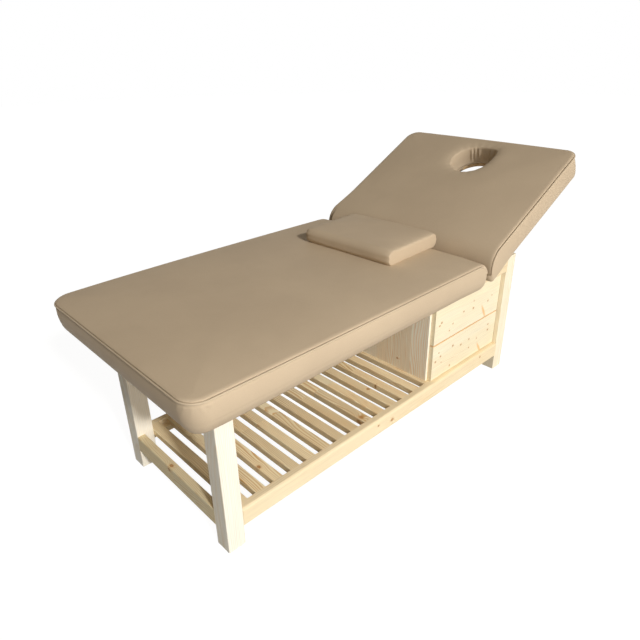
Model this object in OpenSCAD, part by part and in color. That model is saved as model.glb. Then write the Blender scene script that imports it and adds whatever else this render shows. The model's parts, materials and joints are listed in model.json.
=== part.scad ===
// Spa bed: a pine leg frame with a slatted shelf and a two-drawer cabinet, a fixed lower pad,
// a lifting head section with a face hole, and a loose pillow.
// The origin is on the floor, under the middle of the bed's whole length and width. X runs from
// the foot to the head, the drawers face -Y and Z points up. The head section is drawn raised.

/* [Frame] */
// Length of the frame from its foot end to the hinge line
foot_part_l = 1103; // [1050:1:1200]
// Length of the frame from the hinge line to its head end
head_part_l = 387; // [365:1:420]
// Height of the legs and of the rails that carry the pads
frame_h = 530; // [500:5:580]
// Side of the square legs
leg_s = 60; // [52:1:68]
// Rounding of the long edges of the timber
ease_r = 3; // [1:0.5:5]
// Thickness of the rails and bearers
rail_t = 28; // [22:1:32]
// Height of the lower rails
lower_rail_h = 60; // [50:1:66]
// Height of the upper rails and bearers
upper_rail_h = 65; // [50:1:68]
// Rounding of the lower side rails' upper outer edge
rail_nose_r = 10; // [5:1:14]
// Distance of the middle bearer from the foot end of the frame
bearer_from_foot = 525; // [400:5:700]
// Gap between the hinge bearer and the hinge's fixed leaf
bearer_leaf_gap = 4; // [2:1:12]

/* [Shelf] */
// Height of the shelf's top above the floor
shelf_h = 130; // [120:1:150]
// Number of slats, the last of them under the cabinet's side panel
slat_count = 14; // [12:1:15]
// Width of a slat
slat_w = 38; // [32:1:44]
// Thickness of a slat
slat_t = 24; // [18:1:28]
// Strip of the last slat that shows in front of the cabinet's side panel
slat_show = 18.2; // [14:0.1:20]
// Side of the square ledgers that carry the slats
ledger_s = 18; // [14:1:22]

/* [Cabinet] */
// Length of the cabinet between its side panel's outer face and the head legs
cabinet_l = 460; // [430:5:500]
// Thickness of the side and end panels
panel_t = 16; // [12:1:18]
// Gap between the last slat and the floor board
floor_gap = 1; // [0.5:0.5:2]
// Thickness of the top board
top_t = 12; // [9:1:18]
// Thickness of the back panel
back_t = 9; // [6:1:12]
// Gap between the cabinet's top and the upper rails and bearers
cabinet_gap = 3; // [1:0.5:6]
// Thickness of the rail between the drawers
divider_t = 12; // [10:1:16]
// Depth of the rail between the drawers
divider_depth = 40; // [30:1:60]

/* [Drawers] */
// Lower drawer front's share of the height that the two fronts fill
lower_front_share = 0.468; // [0.4:0.002:0.55]
// Distance of the drawer fronts behind the legs' front faces
front_setback = 20; // [16:1:24]
// Thickness of a drawer front
front_t = 18; // [14:1:20]
// Edge of the side panel that shows beside the drawer fronts
front_reveal = 11; // [8:0.5:13]
// Gap between the two fronts
front_gap = 3; // [2:0.5:4]
// Gap between the fronts and the leg, rail and cabinet top
front_edge_gap = 1.5; // [1:0.5:2]
// Wall thickness of a drawer box
box_wall = 12; // [9:1:14]
// Thickness of a drawer's bottom
box_bottom = 6; // [4:1:9]
// Gap above a drawer box
box_head_gap = 19; // [10:1:40]
// Gap behind a drawer box
box_back_gap = 21; // [8:1:60]
// Gap between a drawer box and the panels beside it
box_side_gap = 4; // [2:0.5:5]
// Width of a drawer runner
runner_w = 16; // [12:1:20]
// Height of a drawer runner
runner_h = 12; // [8:1:12]

/* [Pads] */
// Width of the pads over the piping
pad_w = 800; // [740:5:840]
// Overhang of the pads beyond the legs' outer faces at the front and back
side_overhang = 112; // [95:1:120]
// Overhang of the lower pad beyond the foot legs
foot_overhang = 121; // [90:1:140]
// Height of the lower pad's piping above the frame
pad_edge_h = 101; // [85:1:115]
// Rise of a pad's middle above its piping
pad_crown = 6; // [3:0.5:9]
// Radius of the piping bead
bead_r = 3; // [2:0.5:4]
// Depth of the seam between the piping and the top
seam_d = 2; // [1:0.5:3]
// Swelling of the side bands between their seams
side_swell = 2; // [0:0.5:3]
// Rounding of the pads' lower edges
pad_round = 12; // [8:1:16]
// Radius of the pads' corners in plan
pad_corner_r = 52; // [40:1:65]
// Corner radius in plan where the two pads meet
meet_corner_r = 14; // [12:1:20]
// Gap between the frame and the covers' lower rims
rim_gap = 1.5; // [1:0.5:3]
// Thickness of the plywood boards in the pads
board_t = 15; // [12:1:18]
// Distance of a board's edge inside its pad's edge
board_inset = 24; // [20:1:30]
// Radius of the boards' corners
board_corner_r = 44; // [30:1:60]

/* [Head section] */
// Angle of the head section above level
head_tilt = 27; // [0:1:30]
// Further angle that the head section rises, up to the end of its guides
tilt_spare = 3; // [1:1:4]
// Length of the head section
head_l = 649; // [600:5:680]
// Gap between the hinge line and the lower pad
lower_pad_gap = 15; // [13:1:20]
// Gap between the hinge line and the head pad
head_pad_gap = 20; // [18:1:28]
// Height of the head pad's piping above its board's underside
head_edge_h = 107; // [95:1:115]
// Radius of the head pad's rounded lower end
nose_r = 80; // [60:1:90]
// Distance of the face hole's centre from the head end
hole_from_end = 137; // [125:1:180]
// Radius of the face hole
hole_r = 84; // [60:1:90]
// Rounding of the face hole's upper rim
hole_round = 14; // [8:1:20]
// Distance of the board's edge outside the face hole
board_hole_gap = 14; // [4:1:18]

/* [Hinge] */
// Gap between the hinge's ends and the side rails
hinge_end_gap = 10; // [4:1:60]
// Outer radius of a knuckle
knuckle_r = 4; // [3.5:0.1:5]
// Radius of the hinge pin
hinge_pin_r = 2; // [1.5:0.1:2.2]
// Width of a leaf from the hinge line
leaf_w = 60; // [50:1:66]
// Thickness of a leaf
leaf_t = 2; // [1.5:0.1:2.5]
// Number of knuckles, shared by the two leaves
knuckle_count = 9; // [5:2:15]
// Gap between neighbouring knuckles
knuckle_gap = 0.4; // [0.2:0.1:0.8]

/* [Prop] */
// Angle of the line from the hinge to the prop's pivot below level
pivot_angle = 9; // [8:0.5:10]
// Angle between the guide slots and the head board
slot_angle = 2.6; // [2.5:0.1:3]
// Radius of the pivot rod
pivot_rod_r = 6; // [4:0.5:7]
// Radius of the cross rod that runs in the guides
cross_rod_r = 8; // [6:0.5:8]
// Length of the cross rod beyond each guide
cross_rod_end = 23; // [5:1:30]
// Thickness of a prop arm
arm_t = 16; // [12:1:18]
// Radius of an arm's round ends
arm_end_r = 13; // [12:0.5:13.5]
// Gap between an arm and the guide beside it
arm_guide_gap = 14; // [10:1:16]
// Thickness of a guide
guide_t = 12; // [9:1:14]
// Gap between a guide and the legs beside it
guide_leg_gap = 46; // [34:1:60]
// Gap between the level guides and the end rail
guide_rail_gap = 8; // [4:1:20]
// Wood of a guide round its slot
guide_wall = 13; // [10:0.5:13]
// Lift left in the slot beyond each end of the head section's travel
slot_spare = 2; // [1:0.5:3]
// Depth of the pivot rod's seats in the upper side rails
rod_seat = 15; // [10:1:18]

/* [Pillow] */
// Length of the pillow across the bed
pillow_l = 394; // [320:2:430]
// Width of the pillow along the bed
pillow_w = 290; // [230:2:310]
// Thickness of the pillow at its edges
pillow_h = 60; // [52:1:70]
// Rise of the pillow's middle above its edges
pillow_crown = 5; // [3:0.5:9]
// Rounding of the pillow's long edges
pillow_round = 25; // [15:1:26]
// Swelling of the pillow's end panels
pillow_end_swell = 1.5; // [0.5:0.5:3]
// Distance of the pillow from the lower pad's upper end
pillow_setback = 22; // [10:1:40]
// Shift of the pillow towards the back of the bed
pillow_shift = 10; // [0:1:20]
// Turn of the pillow from square, in degrees
pillow_turn = 2.5; // [0:0.5:6]

/* [Hidden] */
$fn = 48;
// Clearance between pieces that rest on each other or slide past each other
seat_gap = 0.3;
// Radial clearance of a rod in its hole
run_gap = 0.05;
// Clearance of the cross rod in its slots
slot_gap = 0.1;
// Overrun of every cut
cut = 1;
// Steps of arc in a pad's corner, and points along its sides and ends as seen from inside
corner_steps = 3;
end_steps = 12;
side_steps = 6;
// Steps across a pad's lower edge, its rounded end, its crown and the face hole's rim
round_steps = 3;
nose_steps = 4;
// Part of the rounded end's quarter circle that has rings of its own, in degrees
nose_arc = 66;
crown_steps = 5;
rim_steps = 3;

// Heights in the head section are counted from the hinge line, square to the board
seam_rise = bead_r - seam_d;
head_board_z = knuckle_r + seat_gap;
head_rim_z = head_board_z + rim_gap;
head_recess_z = head_board_z + board_t + seat_gap;
head_edge_z = head_board_z + head_edge_h;
head_top_z = head_edge_z + seam_rise;
head_x0 = head_pad_gap;
head_x1 = head_pad_gap + head_l;
hole_centre = [head_x1 - hole_from_end, 0];

// Whole length from the foot end of the lower pad to the far lower edge of the head pad
bed_l = foot_overhang + foot_part_l + head_x1 * cos(head_tilt)
        - (head_rim_z + pad_round) * sin(head_tilt);
foot_x = foot_overhang - bed_l / 2;
hinge_x = foot_x + foot_part_l;
head_x = hinge_x + head_part_l;
side_y = pad_w / 2 - side_overhang;
inner_y = side_y - rail_t;
foot_leg_x = foot_x + leg_s;
head_leg_x = head_x - leg_s;
upper_rail_z = frame_h - upper_rail_h;
lower_rail_z = shelf_h - lower_rail_h;

cabinet_x = head_leg_x - cabinet_l;
slat_pitch = (cabinet_x - slat_show - foot_leg_x) / (slat_count - 1);
slat_end_x = cabinet_x - slat_show + slat_w;
cabinet_top = upper_rail_z - cabinet_gap;
front_y = -(side_y - front_setback);
front_back_y = front_y + front_t;
panel_y = front_back_y + seat_gap;
inner_x0 = cabinet_x + panel_t;
inner_x1 = head_leg_x - panel_t;
fronts_h = cabinet_top - shelf_h - 2 * front_edge_gap - front_gap;
lower_front_h = lower_front_share * fronts_h;
split_h = shelf_h + front_edge_gap + lower_front_h + front_gap / 2;
divider_z0 = split_h - divider_t / 2;
divider_z1 = split_h + divider_t / 2;
box_back_y = inner_y - back_t - box_back_gap;

hinge_z = frame_h - knuckle_r;
hinge_l = 2 * (inner_y - hinge_end_gap);
lower_x0 = foot_x - foot_overhang;
lower_x1 = hinge_x - lower_pad_gap;
rim_z = frame_h + rim_gap;
recess_z = frame_h + board_t + seat_gap;
lower_edge_z = frame_h + pad_edge_h;
lower_top_z = lower_edge_z + seam_rise;
lower_centre = [(lower_x0 + lower_x1) / 2, 0];

// The pillow lies on the lower pad's crown, whose height is taken below the pillow's foot edge
pillow_x0 = lower_x1 - pillow_setback - pillow_w;
pillow_share = (lower_x1 - 2 * bead_r - pillow_x0) / (lower_x1 - 2 * bead_r - lower_centre[0]);
pillow_z = lower_top_z + pad_crown * crown_at(pillow_share) + seat_gap;

// The prop and the line from hinge to pivot are two equal sides, so the cross rod stays in line
// with the hinge and the prop turns two degrees for each degree of the head section. The sides'
// length lets the level guides end short of the end rail
guide_reach = cross_rod_r + slot_gap + guide_wall;
slot_far = head_part_l - rail_t - guide_rail_gap - guide_reach;
prop_l = (slot_far - slot_spare) / (2 * cos(pivot_angle - slot_angle));
pivot_x = hinge_x + prop_l * cos(pivot_angle);
pivot_z = hinge_z - prop_l * sin(pivot_angle);
rod_angle = head_tilt - slot_angle;
function rod_distance(tilt) = 2 * prop_l * cos(tilt + pivot_angle - slot_angle);
rod_x = hinge_x + rod_distance(head_tilt) * cos(rod_angle);
rod_z = hinge_z + rod_distance(head_tilt) * sin(rod_angle);
prop_angle = atan2(rod_z - pivot_z, rod_x - pivot_x);
slot_near = rod_distance(head_tilt + tilt_spare) - slot_spare;
guide_y = side_y - leg_s - guide_leg_gap - guide_t;
arm_y = guide_y - arm_guide_gap - arm_t;
cross_rod_l = 2 * (guide_y + guide_t + cross_rod_end);

// Colours
pine = [0.93, 0.84, 0.62];
pine_pale = [0.97, 0.92, 0.76];
plywood = [0.80, 0.66, 0.46];
vinyl = [0.68, 0.59, 0.47];
steel = [0.72, 0.73, 0.75];

// A rectangle with eased corners, from a to b
module eased_rect(a, b, r) {
  translate([a[0] + r, a[1]]) square([b[0] - a[0] - 2 * r, b[1] - a[1]]);
  translate([a[0], a[1] + r]) square([b[0] - a[0], b[1] - a[1] - 2 * r]);
  for (x = [a[0] + r, b[0] - r], y = [a[1] + r, b[1] - r]) translate([x, y]) circle(r);
}

// Timber along X, Y or Z between two corners, with its four long edges eased
module bar_x(a, b, r = ease_r) {
  translate([a[0], 0, 0]) rotate([90, 0, 90])
    linear_extrude(b[0] - a[0]) eased_rect([a[1], a[2]], [b[1], b[2]], r);
}
module bar_y(a, b, r = ease_r) {
  translate([0, b[1], 0]) rotate([90, 0, 0])
    linear_extrude(b[1] - a[1]) eased_rect([a[0], a[2]], [b[0], b[2]], r);
}
module bar_z(a, b, r = ease_r) {
  translate([0, 0, a[2]]) linear_extrude(b[2] - a[2]) eased_rect([a[0], a[1]], [b[0], b[1]], r);
}

// A plain board between two corners
module board(a, b) {
  translate(a) cube(b - a);
}

// A rod along Y, centred on the bed's middle
module rod_y(x, z, r, l) {
  translate([x, l / 2, z]) rotate([90, 0, 0]) cylinder(h = l, r = r);
}

// The head section's own frame: its origin is on the hinge line and it is tilted
module in_head() {
  translate([hinge_x, 0, hinge_z]) rotate([0, -head_tilt, 0]) children();
}

// The side of the bed: -1 is the front and 1 the back
module on_side(side) {
  if (side < 0) mirror([0, 1, 0]) children();
  else children();
}

module leg(end, side) {
  color(pine)
    on_side(side)
      bar_z([end < 0 ? foot_x : head_leg_x, side_y - leg_s, 0],
            [end < 0 ? foot_leg_x : head_x, side_y, frame_h]);
}

// The lower side rail's upper outer edge has the wide rounding
module lower_side_rail(side) {
  color(pine)
    on_side(side)
      translate([foot_leg_x, 0, 0]) rotate([90, 0, 90])
        linear_extrude(head_leg_x - foot_leg_x) {
          translate([inner_y, lower_rail_z]) square([rail_t, lower_rail_h - rail_nose_r]);
          translate([inner_y, lower_rail_z]) square([rail_t - rail_nose_r, lower_rail_h]);
          translate([side_y - rail_nose_r, shelf_h - rail_nose_r]) circle(rail_nose_r);
        }
}

module lower_end_rail(end) {
  x = end < 0 ? foot_x : head_x - rail_t;
  color(pine)
    bar_y([x, leg_s - side_y, lower_rail_z], [x + rail_t, side_y - leg_s, shelf_h]);
}

// The seat of the prop's pivot rod is drilled in the inner face
module upper_side_rail(side) {
  color(pine)
    on_side(side)
      difference() {
        bar_x([foot_leg_x, inner_y, upper_rail_z], [head_leg_x, side_y, frame_h]);
        translate([pivot_x, inner_y + rod_seat, pivot_z]) rotate([90, 0, 0])
          cylinder(h = rod_seat + cut, r = pivot_rod_r + run_gap);
      }
}

module upper_end_rail(end) {
  x = end < 0 ? foot_x : head_x - rail_t;
  color(pine)
    bar_y([x, leg_s - side_y, upper_rail_z], [x + rail_t, side_y - leg_s, frame_h]);
}

module bearer(x) {
  color(pine) bar_y([x, -inner_y, upper_rail_z], [x + rail_t, inner_y, frame_h]);
}

module ledger(side) {
  color(pine)
    on_side(side)
      board([foot_leg_x, inner_y - ledger_s, shelf_h - slat_t - ledger_s],
            [head_leg_x, inner_y, shelf_h - slat_t]);
}

module slat(i) {
  x = foot_leg_x + (i - 1) * slat_pitch;
  color(pine_pale) bar_y([x, -inner_y, shelf_h - slat_t], [x + slat_w, inner_y, shelf_h]);
}

module cabinet_side() {
  color(pine_pale)
    board([cabinet_x, panel_y, shelf_h], [inner_x0, inner_y, cabinet_top - top_t]);
}

module cabinet_end() {
  color(pine_pale)
    board([inner_x1, panel_y, shelf_h], [head_leg_x, inner_y, cabinet_top - top_t]);
}

module cabinet_back() {
  color(pine_pale)
    board([inner_x0, inner_y - back_t, shelf_h], [inner_x1, inner_y, cabinet_top - top_t]);
}

// The floor board lies on the ledgers, level with the slats
module cabinet_floor() {
  color(pine_pale)
    board([slat_end_x + floor_gap, -inner_y, shelf_h - slat_t], [head_leg_x, inner_y, shelf_h]);
}

module cabinet_top() {
  color(pine_pale)
    board([cabinet_x, panel_y, cabinet_top - top_t], [head_leg_x, inner_y, cabinet_top]);
}

module cabinet_divider() {
  color(pine_pale)
    board([inner_x0, panel_y, divider_z0], [inner_x1, panel_y + divider_depth, divider_z1]);
}

// A runner's top is level with the floor of the space that its drawer slides in
module runner(top, y, side) {
  x = side < 0 ? inner_x0 : inner_x1 - runner_w;
  color(pine)
    board([x, y, top - runner_h], [x + runner_w, inner_y - back_t, top]);
}

module drawer_front(z0, z1) {
  color(pine_pale)
    bar_x([cabinet_x + front_reveal, front_y, z0], [head_leg_x - front_edge_gap, front_back_y, z1],
          ease_r / 2);
}

// A drawer box between the top of its runners and what is above it
module drawer_box(runner_top, above) {
  x0 = inner_x0 + box_side_gap;
  x1 = inner_x1 - box_side_gap;
  z0 = runner_top + seat_gap;
  z1 = above - box_head_gap;
  color(plywood)
    difference() {
      board([x0, front_back_y, z0], [x1, box_back_y, z1]);
      board([x0 + box_wall, front_back_y + box_wall, z0 + box_bottom],
            [x1 - box_wall, box_back_y - box_wall, z1 + cut]);
    }
}

// A plywood board for a pad, with round corners and, if r is above zero, a hole at c
module pad_board(x0, x1, z, c, r) {
  y = pad_w / 2 - board_inset;
  color(plywood)
    translate([0, 0, z])
      linear_extrude(board_t)
        difference() {
          eased_rect([x0 + board_inset, -y], [x1 - board_inset, y], board_corner_r);
          if (r > 0) translate(c) circle(r);
        }
}

// Points on a circle's arc, and the last point of a list
function unit(a) = [cos(a), sin(a)];
function corner(c, r, a) = [for (i = [0:corner_steps]) c + r * unit(a + 90 * i / corner_steps)];
function last(l) = l[len(l) - 1];
function bearing(v) = atan2(v[1], v[0]);

// Points between a and b, at n even steps of angle as seen from p
function fan_points(a, b, p, n) =
  let (a0 = bearing(a - p), a1 = bearing(b - p), turn = a1 < a0 ? a1 - a0 + 360 : a1 - a0)
  [for (i = [1:n - 1])
    let (d = unit(a0 + turn * i / n))
    a - (b - a) * cross(a - p, d) / cross(b - a, d)];

// The outline of a pad in plan: a rectangle with its own corner radius at each end
function outline(x0, x1, y0, y1, r0, r1, p) =
  let (
    c1 = corner([x1 - r1, y0 + r1], r1, -90),
    c2 = corner([x1 - r1, y1 - r1], r1, 0),
    c3 = corner([x0 + r0, y1 - r0], r0, 90),
    c4 = corner([x0 + r0, y0 + r0], r0, 180))
  concat(c1, fan_points(last(c1), c2[0], p, end_steps), c2,
         fan_points(last(c2), c3[0], p, side_steps), c3,
         fan_points(last(c3), c4[0], p, side_steps), c4,
         fan_points(last(c4), c1[0], p, side_steps));

// Faces between rings of n points each; closed joins the last ring to the first
function ring_faces(n, rings, closed) =
  [for (k = [0:rings - (closed ? 1 : 2)], i = [0:n - 1])
    let (a = k * n + i, b = k * n + (i + 1) % n,
         d = ((k + 1) % rings) * n + i, c = ((k + 1) % rings) * n + (i + 1) % n)
    each [[a, d, c], [a, c, b]]];

// A skin over rings of points. Without a hole its first and last rings close on two centres
module skin(rings, centres) {
  n = len(rings[0]);
  points = [for (r = rings) each r];
  first = len(points);
  if (len(centres) == 0)
    polyhedron(points, ring_faces(n, len(rings), true));
  else
    polyhedron(concat(points, centres),
      concat([for (i = [0:n - 1]) [first, i, (i + 1) % n]],
             ring_faces(n, len(rings), false),
             [for (i = [0:n - 1])
               let (k = first - n) [k + i, first + 1, k + (i + 1) % n]]));
}

// The side of a pad as [height, inset] pairs, from its lower edge up to the seam at its top
function side_profile(z0, z1) = concat(
  [for (i = [0:round_steps])
    let (a = 90 * i / round_steps)
    [z0 + pad_round * (1 - cos(a)), bead_r + pad_round * (1 - sin(a))]],
  [[(z0 + z1) / 2, bead_r - side_swell]],
  [for (a = [-90, 0, 90]) [z1 + bead_r * sin(a), bead_r - bead_r * cos(a)]],
  [[z1 + bead_r - seam_d, 2 * bead_r]]);

// A crown that is steep at the seam and level in the middle, for t from 0 to 1
function crown_at(t) = 1 - pow(1 - t, 4);

function lower_outline(inset) =
  outline(lower_x0 + inset, lower_x1 - inset, inset - pad_w / 2, pad_w / 2 - inset,
          max(pad_corner_r - inset, meet_corner_r), meet_corner_r, lower_centre);

function lower_ring(z, inset, t) =
  [for (p = lower_outline(inset)) let (q = p + (lower_centre - p) * t) [q[0], q[1], z]];

module lower_cushion() {
  recess = board_inset - seat_gap;
  color(vinyl)
    skin(
      concat(
        [lower_ring(recess_z, recess, 0), lower_ring(rim_z, recess, 0)],
        [for (s = side_profile(rim_z, lower_edge_z)) lower_ring(s[0], s[1], 0)],
        [for (i = [1:crown_steps])
          let (t = i / (crown_steps + 1))
          lower_ring(lower_top_z + pad_crown * crown_at(t), 2 * bead_r, t)]),
      [[lower_centre[0], lower_centre[1], recess_z],
       [lower_centre[0], lower_centre[1], lower_top_z + pad_crown]]);
}

// How far the head pad's rounded lower end draws back at a height
function nose_inset(z) =
  let (h = min(z, head_edge_z) - (head_edge_z - nose_r))
  h <= 0 ? 0 : nose_r - sqrt(nose_r * nose_r - h * h);

function head_outline(z, inset) =
  outline(head_x0 + inset + nose_inset(z), head_x1 - inset, inset - pad_w / 2, pad_w / 2 - inset,
          meet_corner_r, pad_corner_r - inset, hole_centre);

// A ring of the head pad: t moves it from the outline at 0 to the face hole's circle at 1.
// The piping stays off the rounded end, where the top runs over without a seam
function head_ring(z, inset, t, r) =
  [for (p = head_outline(z, inset))
    let (d = norm(p - hole_centre), q = hole_centre + (p - hole_centre) * ((1 - t) + t * r / d),
         plain = t == 0 && p[0] < head_x0 + nose_r + 2 * bead_r
                 && abs(p[1]) < pad_w / 2 - meet_corner_r)
    [q[0], q[1], plain ? min(z, head_top_z) : z]];

// Extra rings on the side, so that the rounded end is smooth
function nose_profile() =
  [for (i = [0:nose_steps])
    let (a = nose_arc * i / nose_steps)
    [head_edge_z - nose_r + nose_r * sin(a), bead_r - side_swell * cos(a)]];

module head_cushion() {
  rim = hole_r + hole_round;
  recess = board_inset - seat_gap;
  side = side_profile(head_rim_z, head_edge_z);
  color(vinyl)
    in_head()
      skin(
        concat(
          [head_ring(head_recess_z, recess, 1, hole_r), head_ring(head_recess_z, recess, 0, 0),
           head_ring(head_rim_z, recess, 0, 0)],
          [for (i = [0:round_steps]) head_ring(side[i][0], side[i][1], 0, 0)],
          [for (s = nose_profile()) head_ring(s[0], s[1], 0, 0)],
          [for (i = [round_steps + 2:len(side) - 1]) head_ring(side[i][0], side[i][1], 0, 0)],
          [for (i = [1:crown_steps])
            let (t = i / (crown_steps + 1))
            head_ring(head_top_z + pad_crown * (1 - pow(abs(2 * t - 1), 4)), 2 * bead_r, t, rim)],
          [for (i = [0:rim_steps])
            let (a = 90 * i / rim_steps)
            head_ring(head_top_z - hole_round * (1 - cos(a)), 2 * bead_r, 1,
                      rim - hole_round * sin(a))]),
        []);
}

module lower_board() {
  pad_board(lower_x0, lower_x1, frame_h, lower_centre, 0);
}

module head_board() {
  in_head() pad_board(head_x0, head_x1, head_board_z, hole_centre, hole_r + board_hole_gap);
}

// A hinge leaf along +X from the hinge line, with every second knuckle
module hinge_leaf(start) {
  pitch = hinge_l / knuckle_count;
  clear_x = knuckle_r + knuckle_gap;
  difference() {
    union() {
      translate([clear_x, -hinge_l / 2, knuckle_r - leaf_t])
        cube([leaf_w - clear_x, hinge_l, leaf_t]);
      for (i = [start:2:knuckle_count - 1])
        translate([0, i * pitch - hinge_l / 2 + knuckle_gap / 2, 0]) {
          translate([0, 0, knuckle_r - leaf_t]) cube([leaf_w / 2, pitch - knuckle_gap, leaf_t]);
          translate([0, pitch - knuckle_gap, 0]) rotate([90, 0, 0])
            cylinder(h = pitch - knuckle_gap, r = knuckle_r);
        }
    }
    rod_y(0, 0, hinge_pin_r + run_gap, hinge_l + 2 * cut);
  }
}

module hinge_leaf_fixed() {
  color(steel) translate([hinge_x, 0, hinge_z]) mirror([1, 0, 0]) hinge_leaf(0);
}

module hinge_leaf_moving() {
  color(steel) in_head() hinge_leaf(1);
}

module hinge_pin() {
  color(steel) rod_y(hinge_x, hinge_z, hinge_pin_r, hinge_l);
}

// A prop arm from the pivot rod to the cross rod
module prop_arm(side) {
  color(pine)
    on_side(side)
      translate([pivot_x, arm_y + arm_t, pivot_z]) rotate([0, -prop_angle, 0]) rotate([90, 0, 0])
        linear_extrude(arm_t)
          difference() {
            union() {
              for (x = [0, prop_l]) translate([x, 0]) circle(arm_end_r);
              translate([0, -arm_end_r]) square([prop_l, 2 * arm_end_r]);
            }
            circle(pivot_rod_r + run_gap);
            translate([prop_l, 0]) circle(cross_rod_r + run_gap);
          }
}

module prop_pivot_rod() {
  color(steel) rod_y(pivot_x, pivot_z, pivot_rod_r, 2 * (inner_y + rod_seat - seat_gap));
}

module prop_cross_rod() {
  color(pine) rod_y(rod_x, rod_z, cross_rod_r, cross_rod_l);
}

// A slotted guide under the head board. Its slot runs from the rod's place when the head section
// is highest to its place when the head section is level
module guide(side) {
  r = cross_rod_r + slot_gap;
  z0 = -slot_far * sin(slot_angle) - guide_reach;
  color(pine)
    in_head()
      on_side(side)
        translate([0, guide_y + guide_t, 0]) rotate([90, 0, 0])
          linear_extrude(guide_t)
            difference() {
              translate([slot_near - guide_reach, z0])
                square([slot_far - slot_near + 2 * guide_reach, head_board_z - z0]);
              rotate(-slot_angle) {
                for (d = [slot_near, slot_far]) translate([d, 0]) circle(r);
                translate([slot_near, -r]) square([slot_far - slot_near, 2 * r]);
              }
            }
}

// The pillow's section as an outline in X and Z, swept along Y and drawn in at its end seams
module pillow() {
  mid = [pillow_x0 + pillow_w / 2, pillow_h / 2];
  section = outline(pillow_x0, pillow_x0 + pillow_w, 0, pillow_h, pillow_round, pillow_round, mid);
  place_shares = [-1, -0.985, -0.93, -0.5, 0, 0.5, 0.93, 0.985, 1];
  draw_in_shares = [0.93, 0.98, 1, 1, 1, 1, 1, 0.98, 0.93];
  color(vinyl)
    translate([mid[0], pillow_shift, pillow_z])
      rotate(pillow_turn)
        skin(
          [for (k = [0:len(place_shares) - 1])
            [for (p = section)
              let (u = (p[0] - mid[0]) / (pillow_w / 2), v = place_shares[k],
                   q = (p - mid) * draw_in_shares[k],
                   rise = p[1] > mid[1] ? pillow_crown * (1 - u * u) * (1 - pow(v, 4)) : 0)
              [q[0], -v * pillow_l / 2, mid[1] + q[1] + rise]]],
          [[0, pillow_l / 2 + pillow_end_swell, mid[1]],
           [0, -pillow_l / 2 - pillow_end_swell, mid[1]]]);
}

leg(-1, -1);  // leg_foot_front
leg(-1, 1);  // leg_foot_back
leg(1, -1);  // leg_head_front
leg(1, 1);  // leg_head_back
lower_side_rail(-1);  // lower_rail_front
lower_side_rail(1);  // lower_rail_back
lower_end_rail(-1);  // lower_rail_foot
lower_end_rail(1);  // lower_rail_head
upper_side_rail(-1);  // upper_rail_front
upper_side_rail(1);  // upper_rail_back
upper_end_rail(-1);  // upper_rail_foot
upper_end_rail(1);  // upper_rail_head
bearer(foot_x + bearer_from_foot);  // bearer_middle
bearer(hinge_x - leaf_w - bearer_leaf_gap - rail_t);  // bearer_hinge
ledger(-1);  // ledger_front
ledger(1);  // ledger_back
for (i = [1:slat_count]) {
  slat(i);
}
cabinet_side();
cabinet_end();
cabinet_back();
cabinet_floor();
cabinet_top();
cabinet_divider();
runner(shelf_h + runner_h, panel_y, -1);  // runner_lower_left
runner(shelf_h + runner_h, panel_y, 1);  // runner_lower_right
runner(divider_z1, panel_y + divider_depth, -1);  // runner_upper_left
runner(divider_z1, panel_y + divider_depth, 1);  // runner_upper_right
drawer_front(shelf_h + front_edge_gap, split_h - front_gap / 2);  // drawer_lower_front
drawer_box(shelf_h + runner_h, divider_z0);  // drawer_lower_box
drawer_front(split_h + front_gap / 2, cabinet_top - front_edge_gap);  // drawer_upper_front
drawer_box(divider_z1, cabinet_top - top_t);  // drawer_upper_box
lower_board();
lower_cushion();
head_board();
head_cushion();
hinge_leaf_fixed();
hinge_leaf_moving();
hinge_pin();
prop_arm(-1);  // prop_arm_front
prop_arm(1);  // prop_arm_back
prop_pivot_rod();
prop_cross_rod();
guide(-1);  // guide_front
guide(1);  // guide_back
pillow();
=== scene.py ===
"""Looks of a spa bed: vinyl pads, pillow and pine frame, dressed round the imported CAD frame.

Lengths are in metres, in the CAD model's frame: +X towards the head, the drawers face -Y and
+Z points up.
"""
import json
import logging
import math
from dataclasses import dataclass, field
from enum import Enum

import bmesh
import bpy
import numpy as np
from mathutils import Matrix, Vector


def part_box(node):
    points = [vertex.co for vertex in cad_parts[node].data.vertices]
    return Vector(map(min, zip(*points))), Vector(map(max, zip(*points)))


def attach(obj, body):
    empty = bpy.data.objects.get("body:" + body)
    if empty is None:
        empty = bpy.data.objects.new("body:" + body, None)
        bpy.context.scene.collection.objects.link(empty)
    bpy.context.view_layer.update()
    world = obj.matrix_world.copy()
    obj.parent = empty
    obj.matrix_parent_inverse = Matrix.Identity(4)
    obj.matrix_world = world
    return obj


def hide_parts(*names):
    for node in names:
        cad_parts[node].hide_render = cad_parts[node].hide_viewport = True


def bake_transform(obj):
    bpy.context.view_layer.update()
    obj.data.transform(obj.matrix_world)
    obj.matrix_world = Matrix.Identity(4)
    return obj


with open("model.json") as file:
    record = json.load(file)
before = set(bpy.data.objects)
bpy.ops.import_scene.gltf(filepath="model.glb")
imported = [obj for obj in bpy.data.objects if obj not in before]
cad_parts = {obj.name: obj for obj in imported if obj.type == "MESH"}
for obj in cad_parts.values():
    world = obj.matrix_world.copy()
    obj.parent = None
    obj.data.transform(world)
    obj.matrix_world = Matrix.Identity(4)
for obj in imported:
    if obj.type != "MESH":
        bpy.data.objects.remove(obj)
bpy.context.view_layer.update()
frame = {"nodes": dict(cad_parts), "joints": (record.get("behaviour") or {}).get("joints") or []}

LOG = logging.getLogger("spa_bed")

Pair = tuple[float, float]
Triple = tuple[float, float, float]
Colour = tuple[float, float, float, float]
Piece = bpy.types.Object
Link = bpy.types.NodeSocket

CLEAR = 0.0003  # between a pad's recess and the top of its board
SPECULAR = 0.06  # of vinyl and of finished pine


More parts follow.
